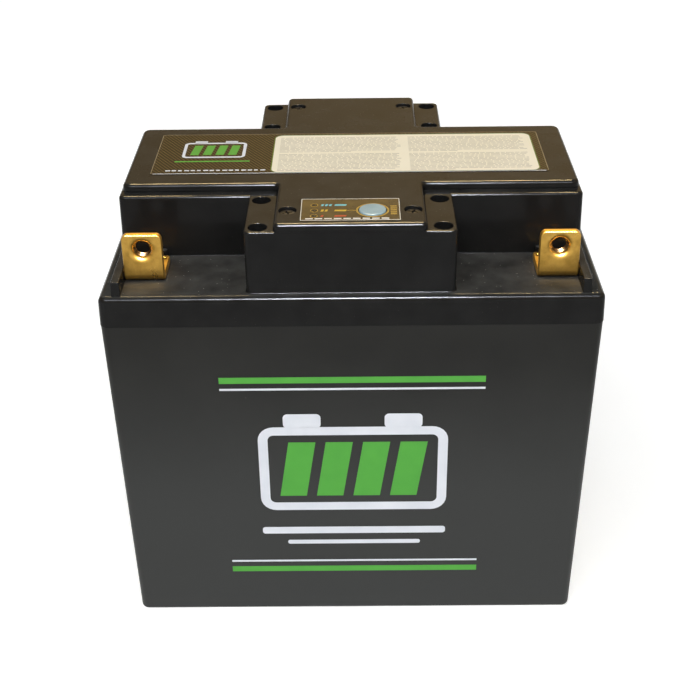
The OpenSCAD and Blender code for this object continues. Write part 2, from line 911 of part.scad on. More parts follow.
// The strip under the lower holder from a bus plate out to the back of the pack
module bus_tail(column, gap, reach) {
    translate([columns[column] - lug_w / 2 - gap, bus_end - pack_front - 1])
        square([lug_w + 2 * gap, holder_back + reach - bus_end + pack_front + 1]);
}

// The pads that rise through the web to the cells of columns a to b
module bus_pads(a, b, z) {
    for (i = [a : b], y = rows)
        translate([columns[i], y, z])
            cylinder(h = web_t, d = pad_d);
}

// A plate on top of the pack, with a sense lug that reaches up to the balance board
module upper_bus(a, b, lug_at) {
    color(NICKEL) {
        translate([0, 0, pack_top - bus_t])
            linear_extrude(bus_t)
                bus_outline(a, b, 0);
        bus_pads(a, b, cell_top);
        translate([lug_at - sense_t / 2, -pack_front - bus_end, pack_top - bus_t])
            cube([sense_t, lug_w, standoff_h + bus_t]);
    }
}

// A plate under the pack, with a strip up the back of the pack to the balance board
module lower_bus(a, b, tail) {
    tail_x = columns[tail] - lug_w / 2;
    tail_out = holder_back + tail_gap;
    color(NICKEL) {
        translate([0, 0, pack_z])
            linear_extrude(bus_t)
                union() {
                    bus_outline(a, b, 0);
                    bus_tail(tail, 0, tail_gap + bus_t);
                }
        bus_pads(a, b, pack_z + bus_t);
        translate([tail_x, tail_out, pack_z])
            cube([lug_w, bus_t, balance_z - pack_z]);
        translate([tail_x, balance_d / 2 - pack_front - lug_lap, balance_z - bus_t])
            cube([lug_w, tail_out - balance_d / 2 + pack_front + lug_lap + bus_t, bus_t]);
    }
}

module bus_negative() {
    upper_bus(0, 0, columns[0] + bus_w / 2 - sense_t);
}

module bus_link_1() {
    lower_bus(0, 1, 1);
}

module bus_link_2() {
    upper_bus(1, 2, 0);
}

module bus_link_3() {
    lower_bus(2, 3, 2);
}

module bus_positive() {
    upper_bus(3, 3, columns[3] - bus_w / 2 + sense_t);
}

// A cell with its raised cap up or down
module cell(column, row) {
    body_h = cell_h - cell_cap_h;
    flip = column % 2 == 0;
    color(SLEEVE)
        translate([columns[column], rows[row], flip ? cell_top : cell_z])
            mirror([0, 0, flip ? 1 : 0]) {
                cylinder(h = cell_bevel, d1 = cell_d - 2 * cell_bevel, d2 = cell_d);
                translate([0, 0, cell_bevel])
                    cylinder(h = body_h - 2 * cell_bevel, d = cell_d);
                translate([0, 0, body_h - cell_bevel])
                    cylinder(h = cell_bevel, d1 = cell_d, d2 = cell_d - 2 * cell_bevel);
                translate([0, 0, body_h - cell_bevel / 2])
                    cylinder(h = cell_cap_h + cell_bevel / 2, d = cell_cap_d);
            }
}

// A holder with a pocket and a window for each cell, standing on its bus plates
module holder() {
    difference() {
        linear_extrude(holder_h)
            translate([0, -pack_front])
                round_rect(holder_w, holder_d, holder_r);
        for (x = columns, y = rows) {
            translate([x, y, bus_t + web_t])
                cylinder(h = pocket_depth + 1, d = cell_d + 2 * seat_gap);
            translate([x, y, -1])
                cylinder(h = holder_h, d = pocket_window_d);
        }
        for (p = tie_points)
            translate([p.x, p.y, -1])
                cylinder(h = holder_h + 2, d = tie_d + 2 * screw_gap);
        children();
    }
}

module holder_lower() {
    color("#2f2f2f")
        translate([0, 0, pack_z])
            holder()
                translate([0, 0, -1])
                    linear_extrude(bus_t + 1)
                        union() {
                            for (a = [0, 2])
                                bus_outline(a, a + 1, seat_gap);
                            for (tail = [1, 2])
                                bus_tail(tail, seat_gap, 1);
                        }
}

module holder_upper() {
    color("#2f2f2f")
        translate([0, 0, pack_top])
            mirror([0, 0, 1])
                holder() {
                    translate([0, 0, -1])
                        linear_extrude(bus_t + 1)
                            for (span = [[0, 0], [1, 2], [3, 3]])
                                bus_outline(span[0], span[1], seat_gap);
                    for (p = stand_points)
                        translate([p.x, p.y, -1])
                            cylinder(h = stand_stud_l + 2, d = stand_stud_d + screw_gap);
                }
}

module pack_spacers() {
    color("#c4c7ca")
        for (p = tie_points)
            translate([p.x, p.y, pack_z + holder_h])
                difference() {
                    cylinder(h = pack_top - pack_z - 2 * holder_h, d = spacer_d);
                    translate([0, 0, -1])
                        cylinder(h = pack_top - pack_z, d = tie_d + 2 * screw_gap);
                }
}

module tie_screws() {
    color(STEEL)
        for (p = tie_points)
            translate([p.x, p.y, pack_top])
                screw(tie_head_d, tie_head_h, tie_d, pack_top - pack_z + tie_bite - tie_end_gap, tie_cross);
}

// The balance board and what is on it

module balance_board() {
    color(BOARD)
        translate([0, 0, balance_z])
            linear_extrude(board_t)
                difference() {
                    translate([0, -pack_front])
                        square([balance_w, balance_d], center = true);
                    for (p = stand_points)
                        translate(p)
                            circle(d = board_screw_d + 2 * screw_gap);
                }
}

module bleed_resistors() {
    color("#24282c")
        for (i = [0 : 3], j = [0, 1])
            translate([board_columns[i], resistor_back + j * resistor_pitch - pack_front, balance_top])
                translate([-resistor_size.x / 2, 0, 0])
                    cube(resistor_size);
}

module balance_chips() {
    color("#1a1a1a")
        for (i = [0 : 3])
            translate([board_columns[i], -chip_front - pack_front, balance_top])
                translate([-chip_size.x / 2, 0, 0])
                    cube(chip_size);
}

module board_standoffs() {
    color(BRASS)
        for (p = stand_points)
            translate([p.x, p.y, pack_top])
                difference() {
                    union() {
                        cylinder(h = standoff_h, d = stand_d);
                        translate([0, 0, -stand_stud_l])
                            cylinder(h = stand_stud_l + 1, d = stand_stud_d);
                    }
                    translate([0, 0, standoff_h + board_t - board_screw_l - tie_end_gap])
                        cylinder(h = board_screw_l, d = board_screw_d + screw_gap);
                }
}

module board_screws() {
    color(STEEL)
        for (p = stand_points)
            translate([p.x, p.y, balance_top])
                screw(board_head_d, board_head_h, board_screw_d, board_screw_l, board_cross);
}

case();
lid();
lid_seal();
top_cover();
cover_screws();
top_label();
indicator_overlay();
test_button();
switch_stem();
switch_body();
indicator_board();
led(led_rows[0], "#7fd0e0");  // led_full
led(led_rows[1], "#e0c850");  // led_mid
led(led_rows[2], "#d05040");  // led_low
indicator_screws();
indicator_lead();
lead_socket();
terminal_left();
terminal_right();
terminal_seals();
terminal_washers();
terminal_nuts();
strap_negative();
strap_positive();
holder_lower();
holder_upper();
pack_spacers();
tie_screws();
bus_negative();
bus_link_1();
bus_link_2();
bus_link_3();
bus_positive();
for (i = [0 : 3], j = [0 : 2])
    cell(i, j);
balance_board();
bleed_resistors();
balance_chips();
board_standoffs();
board_screws();
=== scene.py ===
"""A lithium motorcycle battery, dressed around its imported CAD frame."""
import json
import math
import random

import bmesh
import bpy
from bpy.props import FloatProperty, FloatVectorProperty, PointerProperty
from bpy.types import Operator, Panel, PropertyGroup
from mathutils import Matrix, Vector


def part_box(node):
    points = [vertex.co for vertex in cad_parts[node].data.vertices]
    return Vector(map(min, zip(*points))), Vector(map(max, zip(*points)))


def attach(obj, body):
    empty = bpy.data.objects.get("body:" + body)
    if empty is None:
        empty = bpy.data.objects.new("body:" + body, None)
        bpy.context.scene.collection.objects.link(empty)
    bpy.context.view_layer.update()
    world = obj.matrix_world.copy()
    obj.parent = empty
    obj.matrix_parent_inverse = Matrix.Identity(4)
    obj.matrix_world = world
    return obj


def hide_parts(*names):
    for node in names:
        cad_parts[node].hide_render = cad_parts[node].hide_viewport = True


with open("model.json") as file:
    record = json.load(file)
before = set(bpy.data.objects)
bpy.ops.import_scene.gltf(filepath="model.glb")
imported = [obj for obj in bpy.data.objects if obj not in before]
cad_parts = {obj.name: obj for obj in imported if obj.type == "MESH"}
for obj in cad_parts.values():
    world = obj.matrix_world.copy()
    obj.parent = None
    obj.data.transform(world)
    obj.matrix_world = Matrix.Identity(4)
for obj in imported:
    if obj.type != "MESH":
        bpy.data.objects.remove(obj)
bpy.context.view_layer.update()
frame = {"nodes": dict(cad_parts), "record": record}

bl_info = {
    "name": "Motorcycle battery",
    "version": (1, 0, 0),
    "blender": (4, 5, 0),
    "location": "View3D > Sidebar > Battery",
    "description": "Dresses a lithium motorcycle battery and sets its studio stage",
    "category": "Object",
}

MM = 0.001
IMAGE = 700
QUARTER = [math.radians(a) for a in range(0, 91, 15)]

# The camera that the photograph was taken with: place in mm, angles in degrees, focal length and centre in pixels
CAMERA_PLACE = (2.438, -430.434, 328.482)
CAMERA_ELEVATION = 30.279
CAMERA_AZIMUTH = -0.648
CAMERA_ROLL = 0.817
CAMERA_FOCAL = 1283.262
CAMERA_CENTRE = (346.55, 350.647)
SENSOR = 36.0

# Sizes and places of the mouldings in the CAD frame, in mm
SEAM_Z = 123.2
LEDGE_Z = 134.0
TOWER_Z = 155.9
COVER_Z = 158.6
RIM = (166.0, 126.0)
TOWER = (157.8, 62.6)
BOSS = (68.4, 120.4)
COVER_BAR = (155.4, 54.2)
COVER_ARM = (49.6, 120.4)
OVERLAY_Y = -49.15
SCREW_AT = (20.4, 49.15)
TAB_HOLES = (29.8, 34.5, 56.0)
LAMP_X = -11.7
LAMP_ROWS = (-45.8, -50.05, -54.3)
BUTTON_AT = (7.2, -50.05)
BUTTON_HOLE = 4.6
TERMINAL_X = 68.4
TERMINAL_Y = -51.5
TERMINAL_W = 13.2
TERMINAL_T = 2.5
STUD_Y = -42.9
# Height in mm below which the case is fully painted lighter, standing in for light from the floor
PAINTED_LIGHT_Z = 45.0
STRIPE_TURN = math.radians(-33)


def linear(hex_colour):
    """Linear RGB of an sRGB hex colour."""
    parts = [int(hex_colour[i:i + 2], 16) / 255 for i in (1, 3, 5)]
    return [c / 12.92 if c <= 0.04045 else ((c + 0.055) / 1.055) ** 2.4 for c in parts]


def rgba(colour):
    """A colour with full alpha, from a hex value or from three linear numbers."""
    return (*(linear(colour) if isinstance(colour, str) else colour), 1.0)


def length(name, description, mm):
    """A property that holds a length."""
    return FloatProperty(name=name, description=description, default=mm * MM, min=0.0, precision=5,
                         unit="LENGTH", subtype="DISTANCE")


def tint(name, description, hex_colour):
    """A property that holds a colour."""
    return FloatVectorProperty(name=name, description=description, default=linear(hex_colour), size=3,
                               min=0.0, max=1.0, subtype="COLOR")


class BatterySizes(PropertyGroup):
    mould_edge: length("Moulded edge", "Radius of the small edges of the mouldings", 0.35)
    foot_cove: length("Foot cove", "Radius of the hollow at the foot of the tower's front and rear", 0.5)
    brass_edge: length("Brass edge", "Radius that tumbling leaves on the terminals' edges", 0.45)
    screw_edge: length("Screw edge", "Radius of the edge round the screw heads", 0.25)
    film_edge: length("Film edge", "Radius of the edges of the label and the overlay", 0.06)
    ink_t: length("Ink thickness", "How far the ink stands above what it is printed on", 0.03)
    thread_pitch: length("Thread pitch", "Pitch of the M6 thread in the terminals", 1.0)
    thread_depth: length("Thread depth", "Depth of the M6 thread in the terminals", 0.5)
    stripe_pitch: length("Stripe pitch", "Distance between the label's diagonal stripes", 1.2)
    button_crown: length("Button crown", "How far the middle of the button stands above its rim", 0.15)


class BatteryColours(PropertyGroup):
    case_plastic: tint("Case", "Matt black of the case", "#1d1d1b")
    # Painted floor light: the grey the case is lightened to near its foot
    case_painted_light: tint("Case painted light", "Painted floor light, lighter grey near the foot of the case", "#3a3b3a")
    lid_plastic: tint("Lid", "Polished black of the lid and its cover", "#191919")
    brass: tint("Brass", "Yellow brass of the terminals", "#a9853f")
    tarnish: tint("Tarnish", "Brown of the tarnished brass", "#785c26")
    ink_white: tint("White ink", "White of the print on the front", "#e4e7ee")
    ink_green: tint("Green ink", "Green of the print on the front", "#54a83f")
    film: tint("Label film", "Brown ground of the label", "#1c160b")
    film_line: tint("Label lines", "Pale brown lines on the label", "#524529")
    panel: tint("Label panel", "Cream white of the label's panel", "#f8f0da")
    overlay: tint("Overlay", "Brown ground of the indicator's overlay", "#2b2313")
    gold: tint("Gold ink", "Gold of the overlay's print", "#b08e3e")
    button: tint("Button", "Pale blue of the test button", "#8fadb6")


# Materials


def add(tree, kind, settings=None, values=None, links=None):
    """Adds a node with its settings, its input values and the links into it."""
    node = tree.nodes.new(kind)
    for key, value in (settings or {}).items():
        setattr(node, key, value)
    for key, value in (values or {}).items():
        node.inputs[key].default_value = value
    for key, socket in (links or {}).items():
        tree.links.new(socket, node.inputs[key])
    return node


def maths(tree, operation, *terms):
    """What a math node makes of sockets and numbers."""
    node = add(tree, "ShaderNodeMath", {"operation": operation})
    for socket, term in zip(node.inputs, terms):
        if isinstance(term, float):
            socket.default_value = term
        else:
            tree.links.new(term, socket)
    return node.outputs[0]


def ranged(tree, value, low, high, to_low=0.0, to_high=1.0, **settings):
    """A value carried from one range to another, and kept within it."""
    limits = {"From Min": low, "From Max": high, "To Min": to_low, "To Max": to_high}
    return add(tree, "ShaderNodeMapRange", settings, limits, {"Value": value}).outputs["Result"]


def blended(tree, share, under, over):
    """A colour laid by share over another, which is a socket or a colour."""
    node = add(tree, "ShaderNodeMix", {"data_type": "RGBA"}, {7: rgba(over)}, {0: share})
    if isinstance(under, bpy.types.NodeSocket):
        tree.links.new(under, node.inputs[6])
    else:
        node.inputs[6].default_value = rgba(under)
    return node.outputs[2]


def here(tree):
    """The place on the object, in metres."""
    return add(tree, "ShaderNodeTexCoord").outputs["Object"]


def axes(tree, vector):
    """The X, Y and Z of a vector."""
    return add(tree, "ShaderNodeSeparateXYZ", {}, {}, {"Vector": vector}).outputs


def shown(tree):
    """1 where a surface is seen straight, in gloss or through glass, and 0 where it only lights others."""
    path = add(tree, "ShaderNodeLightPath").outputs
    seen = maths(tree, "MAXIMUM", path["Is Camera Ray"], path["Is Glossy Ray"])
    return maths(tree, "MAXIMUM", seen, path["Is Transmission Ray"])


def bare_material(name):
    """A material with no nodes yet, and its node tree."""
    material = bpy.data.materials.new(name)
    material.use_nodes = True
    material.node_tree.nodes.clear()
    return material, material.node_tree


def finish(name, base, worn, grain, rough, cloud=20.0, bump=0.0, haze=None, specks=None, settled=None, **sockets):
    """A surface whose colour, gloss and height vary.

    grain is the fine grain's width and cloud the patches' width, in mm, and bump the grain's height in mm.
    haze is (colour, share) of the dust film on upward faces, and specks is (colour, spacing, width, share).
    settled is (height, height, share): dust lies fully up to the first, and that share of it is left at the second.
    """
    material = bpy.data.materials.new(name)
    material.use_nodes = True
    tree = material.node_tree
    shader = tree.nodes["Principled BSDF"]
    place = here(tree)
    fine = add(tree, "ShaderNodeTexNoise", {}, {"Scale": 1 / (grain * MM), "Detail": 3.0}, {"Vector": place}).outputs
    broad = add(tree, "ShaderNodeTexNoise", {}, {"Scale": 1 / (cloud * MM), "Detail": 6.0}, {"Vector": place}).outputs
    patch = ranged(tree, broad["Fac"], 0.3, 0.7)
    mixed = blended(tree, patch, base, worn)
    gloss = ranged(tree, broad["Fac"], 0.3, 0.7, *rough)
    up = None
    if haze or specks:
        # Dust lies on the flats and leaves the round edges clear
        normal = add(tree, "ShaderNodeNewGeometry").outputs["Normal"]
        up = ranged(tree, axes(tree, normal)["Z"], 0.8, 1.0, 0.06)
    if settled:
        left = ranged(tree, axes(tree, place)["Z"], settled[0] * MM, settled[1] * MM, 1.0, settled[2])
        up = maths(tree, "MULTIPLY", up, left)
    if haze:
        film = maths(tree, "MULTIPLY_ADD", patch, 0.6 * haze[1], 0.4 * haze[1])
        mixed = blended(tree, maths(tree, "MULTIPLY", film, up), mixed, haze[0])
    if specks:
        spacing, width, share = specks[1:]
        shift = add(tree, "ShaderNodeVectorMath", {"operation": "MULTIPLY_ADD"}, {1: (width * MM,) * 3},
                    {0: fine["Color"], 2: place})
        dots = add(tree, "ShaderNodeTexVoronoi", {}, {"Scale": 1 / (spacing * MM)}, {"Vector": shift.outputs[0]})
        dots = dots.outputs
        near = ranged(tree, dots["Distance"], width / spacing, 0.4 * width / spacing)
        draw = add(tree, "ShaderNodeSeparateColor", {}, {}, {"Color": dots["Color"]}).outputs["Red"]
        kept = maths(tree, "GREATER_THAN", draw, 1 - share)
        mask = maths(tree, "MULTIPLY", maths(tree, "MULTIPLY", near, kept), up)
        mixed = blended(tree, mask, mixed, specks[0])
        gloss = maths(tree, "MAXIMUM", gloss, mask)
    tree.links.new(mixed, shader.inputs["Base Color"])
    tree.links.new(gloss, shader.inputs["Roughness"])
    if settled:
        sheen = sockets.pop("Specular_IOR_Level")
        tree.links.new(ranged(tree, up, settled[2], 1.0, sheen, 0.0), shader.inputs["Specular IOR Level"])
    if bump:
        relief = add(tree, "ShaderNodeBump", {}, {"Distance": bump * MM}, {"Height": fine["Fac"]})
        tree.links.new(relief.outputs["Normal"], shader.inputs["Normal"])
    for socket, value in sockets.items():
        shader.inputs[socket.replace("_", " ")].default_value = value
    return material


def matt_abs(colours):
    """ABS moulded in a spark-eroded tool: a soft even sheen over a fine grain, with a little dust, and painted floor
    light that greys it towards the foot.
    """
    material = finish("ABS moulded matt", colours.case_plastic, "#22221f", 0.5, (0.36, 0.44), 30.0, 0.03,
                      specks=("#9a978c", 9.0, 0.35, 0.1), Specular_IOR_Level=0.1)
    tree = material.node_tree
    shader = tree.nodes["Principled BSDF"]
    ground = shader.inputs["Base Color"].links[0].from_socket
    # Painted floor light: the case is painted a lighter grey near its foot, which thins out towards the lid
    share = ranged(tree, axes(tree, here(tree))["Z"], SEAM_Z * MM, PAINTED_LIGHT_Z * MM, interpolation_type="SMOOTHSTEP")
    tree.links.new(blended(tree, share, ground, colours.case_painted_light), shader.inputs["Base Color"])
    return material


def polished_abs(colours):
    """ABS moulded in a polished tool: black and mirror-like, with handling haze and dust on what faces up."""
    return finish("ABS moulded polished", colours.lid_plastic, "#1d1d1d", 3.0, (0.1, 0.18), 9.0, 0.004,
                  haze=("#96958f", 0.185), specks=("#aeaaa0", 1.3, 0.16, 0.35), settled=(136.0, 150.0, 0.25),
                  Specular_IOR_Level=0.05)


def pressed_brass(colours):
    """Brass strip, pressed and tumbled: yellow, with brown tarnish in patches and fine scratches."""
    return finish("Brass pressed and tarnished", colours.brass, colours.tarnish, 0.4, (0.26, 0.4), 3.5, 0.006,
                  Metallic=1.0)


def printed_film(colours, pitch):
    """Polyester film, printed brown with fine diagonal stripes: a smooth satin sheet."""
    material = finish("Polyester film striped", colours.film, "#20190d", 0.6, (0.12, 0.2), 15.0, 0.002,
                      Specular_IOR_Level=0.08)
    tree = material.node_tree
    shader = tree.nodes["Principled BSDF"]
    ground = shader.inputs["Base Color"].links[0].from_socket
    slanted = add(tree, "ShaderNodeMapping", {}, {"Rotation": (0.0, 0.0, STRIPE_TURN)}, {"Vector": here(tree)})
    # A wave node repeats every pi / 10 units at scale 1
    waves = add(tree, "ShaderNodeTexWave", {}, {"Scale": math.pi / 10 / pitch}, {"Vector": slanted.outputs[0]})
    line = ranged(tree, waves.outputs["Fac"], 0.45, 0.9, 0.0, 0.8)
    tree.links.new(blended(tree, line, ground, colours.film_line), shader.inputs["Base Color"])
    return material


# What the inner nodes are made of: name, colour, second colour, grain, roughness, patches, bump, shader values
INNER_FINISHES = {
    "sealant": ("Butyl sealant extruded", "#3a3a38", "#454541", 1.2, (0.6, 0.75), 8.0, 0.05, {}),
    "black_steel": ("Steel black oxide", "#2a2a2b", "#38383a", 0.3, (0.28, 0.42), 3.0, 0.004, {"Metallic": 1.0}),
    "switch_white": ("Acetal moulded", "#dedace", "#d0ccbe", 0.5, (0.3, 0.4), 4.0, 0.003, {}),
    "chip_black": ("Epoxy moulded chip", "#17181a", "#202124", 0.2, (0.5, 0.65), 3.0, 0.006, {}),
    "circuit_board": ("Glass epoxy solder mask", "#1b5f35", "#237040", 0.8, (0.22, 0.34), 9.0, 0.004, {}),
    "lamp_cyan": ("Epoxy lamp lens cyan", "#8fdcea", "#7bcbdc", 0.5, (0.06, 0.12), 3.0, 0.0,
                  {"Transmission_Weight": 0.4}),
    "lamp_yellow": ("Epoxy lamp lens yellow", "#e6cf58", "#d8bd48", 0.5, (0.06, 0.12), 3.0, 0.0,
                    {"Transmission_Weight": 0.4}),
    "lamp_red": ("Epoxy lamp lens red", "#d8553f", "#c44634", 0.5, (0.06, 0.12), 3.0, 0.0,
                 {"Transmission_Weight": 0.4}),
    "zinc_steel": ("Steel zinc plated", "#b9bdc2", "#a2a7ae", 0.3, (0.26, 0.4), 4.0, 0.003, {"Metallic": 1.0}),
    "lead_rubber": ("Silicone lead insulation", "#222223", "#2b2b2b", 0.3, (0.5, 0.62), 5.0, 0.006, {}),
    "brass": ("Brass turned", "#c6a258", "#b08c46", 0.25, (0.22, 0.34), 3.0, 0.003, {"Metallic": 1.0}),
    "copper": ("Copper strip rolled", "#c67f57", "#a9623f", 0.35, (0.24, 0.4), 6.0, 0.004, {"Metallic": 1.0}),
    "holder_plastic": ("Flame retardant nylon moulded", "#2a2a2b", "#323233", 0.5, (0.45, 0.58), 10.0, 0.02, {}),
    "aluminium": ("Aluminium turned", "#c4c7ca", "#b2b6ba", 0.25, (0.26, 0.38), 4.0, 0.003, {"Metallic": 1.0}),
    "nickel": ("Nickel strip rolled", "#c9c6bd", "#b5b1a6", 0.35, (0.24, 0.38), 6.0, 0.003, {"Metallic": 1.0}),
    "cell_sleeve": ("Heat shrink sleeve", "#2f7f5e", "#388c69", 0.6, (0.3, 0.42), 12.0, 0.006, {}),
}


# Mesh helpers: forms are bmeshes in mm, and become pieces in metres


def outline(corners, inset=0.0, steps=8):
    """Points round a shape of square corners (x, y, radius), in turn to the left, drawn in by inset."""
    points = []
    for k, (x, y, r) in enumerate(corners):
        before, after = corners[k - 1], corners[(k + 1) % len(corners)]
        come = Vector((x - before[0], y - before[1])).normalized()
        go = Vector((after[0] - x, after[1] - y)).normalized()
        outer = come.x * go.y - come.y * go.x
        bend = max(r - outer * inset, 0.02)
        middle = Vector((x, y)) + inset * Vector((-come.y - go.y, come.x + go.x)) + bend * (go - come)
        for i in range(steps + 1):
            turn = math.radians(90 * i / steps)
            points.append(middle + bend * (math.sin(turn) * come - math.cos(turn) * go))
    return points


def oblong(w, d, r, at=(0.0, 0.0)):
    """The corners of a rectangle about a point."""
    x, y = at
    signs = ((-1, -1), (1, -1), (1, 1), (-1, 1))
    return [(x + w / 2 * across, y + d / 2 * along, r) for across, along in signs]


def cross(bar, arm, bar_r, arm_r, inner_r):
    """The corners of a bar with an arm in front and behind; bar and arm are (width, depth)."""
    a, b, c, d = bar[0] / 2, bar[1] / 2, arm[0] / 2, arm[1] / 2
    return [(-c, -d, arm_r), (c, -d, arm_r), (c, -b, inner_r), (a, -b, bar_r), (a, b, bar_r), (c, b, inner_r),
            (c, d, arm_r), (-c, d, arm_r), (-c, b, inner_r), (-a, b, bar_r), (-a, -b, bar_r), (-c, -b, inner_r)]


def wall(low, high, draft=0.0, edge=0.0, foot=0.0, cove=0.0):
    """(inset, height) pairs up a moulded wall: its foot, a leaning face and a round top edge.

    The foot is square, or round with radius foot, or spreads into what carries it with radius cove.
    """
    pairs = [(foot * (1 - math.sin(a)), low + foot * (1 - math.cos(a))) for a in QUARTER] if foot else [(0.0, low)]
    if cove:
        pairs = [(cove * (math.sin(a) - 1), low + cove * (1 - math.cos(a))) for a in QUARTER[1:]]
        pairs.insert(0, (pairs[0][0], low - 0.5))
    tops = [(draft + edge * (1 - math.cos(a)), high - edge * (1 - math.sin(a))) for a in QUARTER]
    return pairs + (tops if edge else [(draft, high)])


def skinned(rings):
    """The closed form over rings of as many points each, with its two ends capped."""
    bm = bmesh.new()
    rows = [[bm.verts.new(p) for p in ring] for ring in rings]
    for low, high in zip(rows, rows[1:]):
        for k in range(len(low)):
            j = (k + 1) % len(low)
            bm.faces.new([low[k], low[j], high[j], high[k]])
    bm.faces.new(rows[0])
    bm.faces.new(rows[-1])
    bmesh.ops.recalc_face_normals(bm, faces=bm.faces)
    return bm


def stacked(corners, pairs, steps=8):
    """The form of an outline that is drawn in by an inset at each height."""
    return skinned([[(*point, z) for point in outline(corners, inset, steps)] for inset, z in pairs])


def turned(profile, at=(0.0, 0.0, 0.0), steps=64):
    """The form that (radius, height) pairs sweep about an upright axis; the ends are on the axis."""
    bm = bmesh.new()
    spokes = [(math.cos(2 * math.pi * k / steps), math.sin(2 * math.pi * k / steps)) for k in range(steps)]
    rings = [[bm.verts.new((at[0] + r * x, at[1] + r * y, at[2] + z)) for x, y in (spokes if r else spokes[:1])]
             for r, z in profile]
    for low, high in zip(rings, rings[1:]):
        for k in range(steps):
            corner = [low[k % len(low)], low[(k + 1) % len(low)], high[(k + 1) % len(high)], high[k % len(high)]]
            bm.faces.new(list(dict.fromkeys(corner)))
    bmesh.ops.recalc_face_normals(bm, faces=bm.faces)
    return bm


def drill(r, low, high, mouth=0.0, step=None):
    """The profile of a hole with a rounded mouth at its top; step is (radius, height) of a narrower run below."""
    start = [(0, step[1]), (step[0], step[1]), (step[0], low), (r, low)] if step else [(0, low), (r, low)]
    lip = [(r + mouth * (1 - math.cos(a)), high - mouth * (1 - math.sin(a))) for a in QUARTER] if mouth else []
    return start + lip + [(r + mouth, high + 1), (0, high + 1)]


def merged(forms):
    """One mesh of forms that don't touch."""
    bm = bmesh.new()
    for part in forms:
        mesh = bpy.data.meshes.new("part")
        part.to_mesh(mesh)
        part.free()
        bm.from_mesh(mesh)
        bpy.data.meshes.remove(mesh)
    return bm


def placed(name, bm):
    """An object in the scene that holds a form."""
    mesh = bpy.data.meshes.new(name)
    bm.to_mesh(mesh)
    bm.free()
    obj = bpy.data.objects.new(name, mesh)
    bpy.context.scene.collection.objects.link(obj)
    return obj


def worked(bm, tool, operation):
    """The form with a tool's form joined to it (UNION) or cut from it (DIFFERENCE)."""
    objects = [placed("form", part) for part in (bm, tool)]
    change = objects[0].modifiers.new("Work", "BOOLEAN")
    change.operation, change.solver, change.object = operation, "MANIFOLD", objects[1]
    result = bmesh.new()
    result.from_object(objects[0], bpy.context.evaluated_depsgraph_get())
    for obj in objects:
        bpy.data.meshes.remove(obj.data)
    if not result.faces:
        raise RuntimeError("a boolean left no faces")
    return result


def joined(bm, *tools):
    """The form with other forms joined to it in turn."""
    for tool in tools:
        bm = worked(bm, tool, "UNION")
    return bm


def cut(bm, *tools):
    """The form with other forms cut from it in turn."""
    for tool in tools:
        bm = worked(bm, tool, "DIFFERENCE")
    return bm


def smooth(obj, degrees=35.0):
    """Shades the flats flat and the rounds round."""
    obj.data.shade_smooth()
    obj.data.set_sharp_from_angle(angle=math.radians(degrees))
    normals = obj.modifiers.new("Even normals", "WEIGHTED_NORMAL")
    normals.keep_sharp = True


def piece(name, bm, material, body="battery", replaced=(), degrees=35.0):
    """Makes a piece from a form, with its material, that rides on a body and may stand for CAD nodes."""
    bmesh.ops.scale(bm, vec=(MM, MM, MM), verts=bm.verts)
    obj = placed(name, bm)
    obj.data.materials.append(material)
    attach(obj, body)
    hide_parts(*replaced)
    smooth(obj, degrees)
    return obj


def corners_of(node):
    """The lowest and the highest corner of a CAD node, in mm."""
    return [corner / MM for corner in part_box(node)]


# Print helpers: shapes are loops of points in mm


def rect(x0, y0, x1, y1, lean=0.0):
    """A rectangle whose upper side is shifted by lean."""
    return [(x0, y0), (x1, y0), (x1 + lean, y1), (x0 + lean, y1)]


def rounded(x0, y0, x1, y1, r, steps=6):
    """A rectangle with round corners."""
    return [tuple(p) for p in outline([(x0, y0, r), (x1, y0, r), (x1, y1, r), (x0, y1, r)], 0.0, steps)]


def disc(x, y, r, steps=28):
    """A round dot."""
    turns = [2 * math.pi * k / steps for k in range(steps)]
    return [(x + r * math.cos(a), y + r * math.sin(a)) for a in turns]


def frame_line(x0, y0, x1, y1, r, w):
    """The outer and the inner loop of a line of width w round a rectangle with round corners."""
    return rounded(x0, y0, x1, y1, r), rounded(x0 + w, y0 + w, x1 - w, y1 - w, max(r - w, 0.02))


def printed(name, shapes, place, material, ink):
    """Ink on a surface: each shape is a loop of points, or an outer and an inner loop.

    place(u, v, h) gives the point at h above the surface.
    """
    bm = bmesh.new()
    levels = (-0.3 * ink / MM, ink / MM)
    for shape in shapes:
        loops = [shape] if isinstance(shape, list) else list(shape)
        stacks = [[[bm.verts.new(place(u, v, h)) for u, v in loop] for h in levels] for loop in loops]
        count = len(loops[0])
        for low, high in stacks:
            for k in range(count):
                j = (k + 1) % count
                bm.faces.new([low[k], low[j], high[j], high[k]])
        for level in (0, 1):
            if len(stacks) == 1:
                bm.faces.new(stacks[0][level])
            else:
                for k in range(count):
                    j = (k + 1) % count
                    bm.faces.new([stacks[0][level][k], stacks[0][level][j], stacks[1][level][j], stacks[1][level][k]])
    bmesh.ops.recalc_face_normals(bm, faces=bm.faces)
    return piece(name, bm, material)


def flat_at(z):
    """Places print on a level face at height z."""
    return lambda u, v, h: Vector((u, v, z + h))


def front_face():
    """Places print on the case's leaning front face, by x and height."""
    source = frame["nodes"]["case"].data
    best = max((p for p in source.polygons if p.normal.y < -0.9), key=lambda p: p.area)
    point, normal = source.vertices[best.vertices[0]].co / MM, best.normal.normalized()

    def place(u, v, h):
        y = point.y - (normal.x * (u - point.x) + normal.z * (v - point.z)) / normal.y
        return Vector((u, y, v)) + normal * h
    return place


# Operators


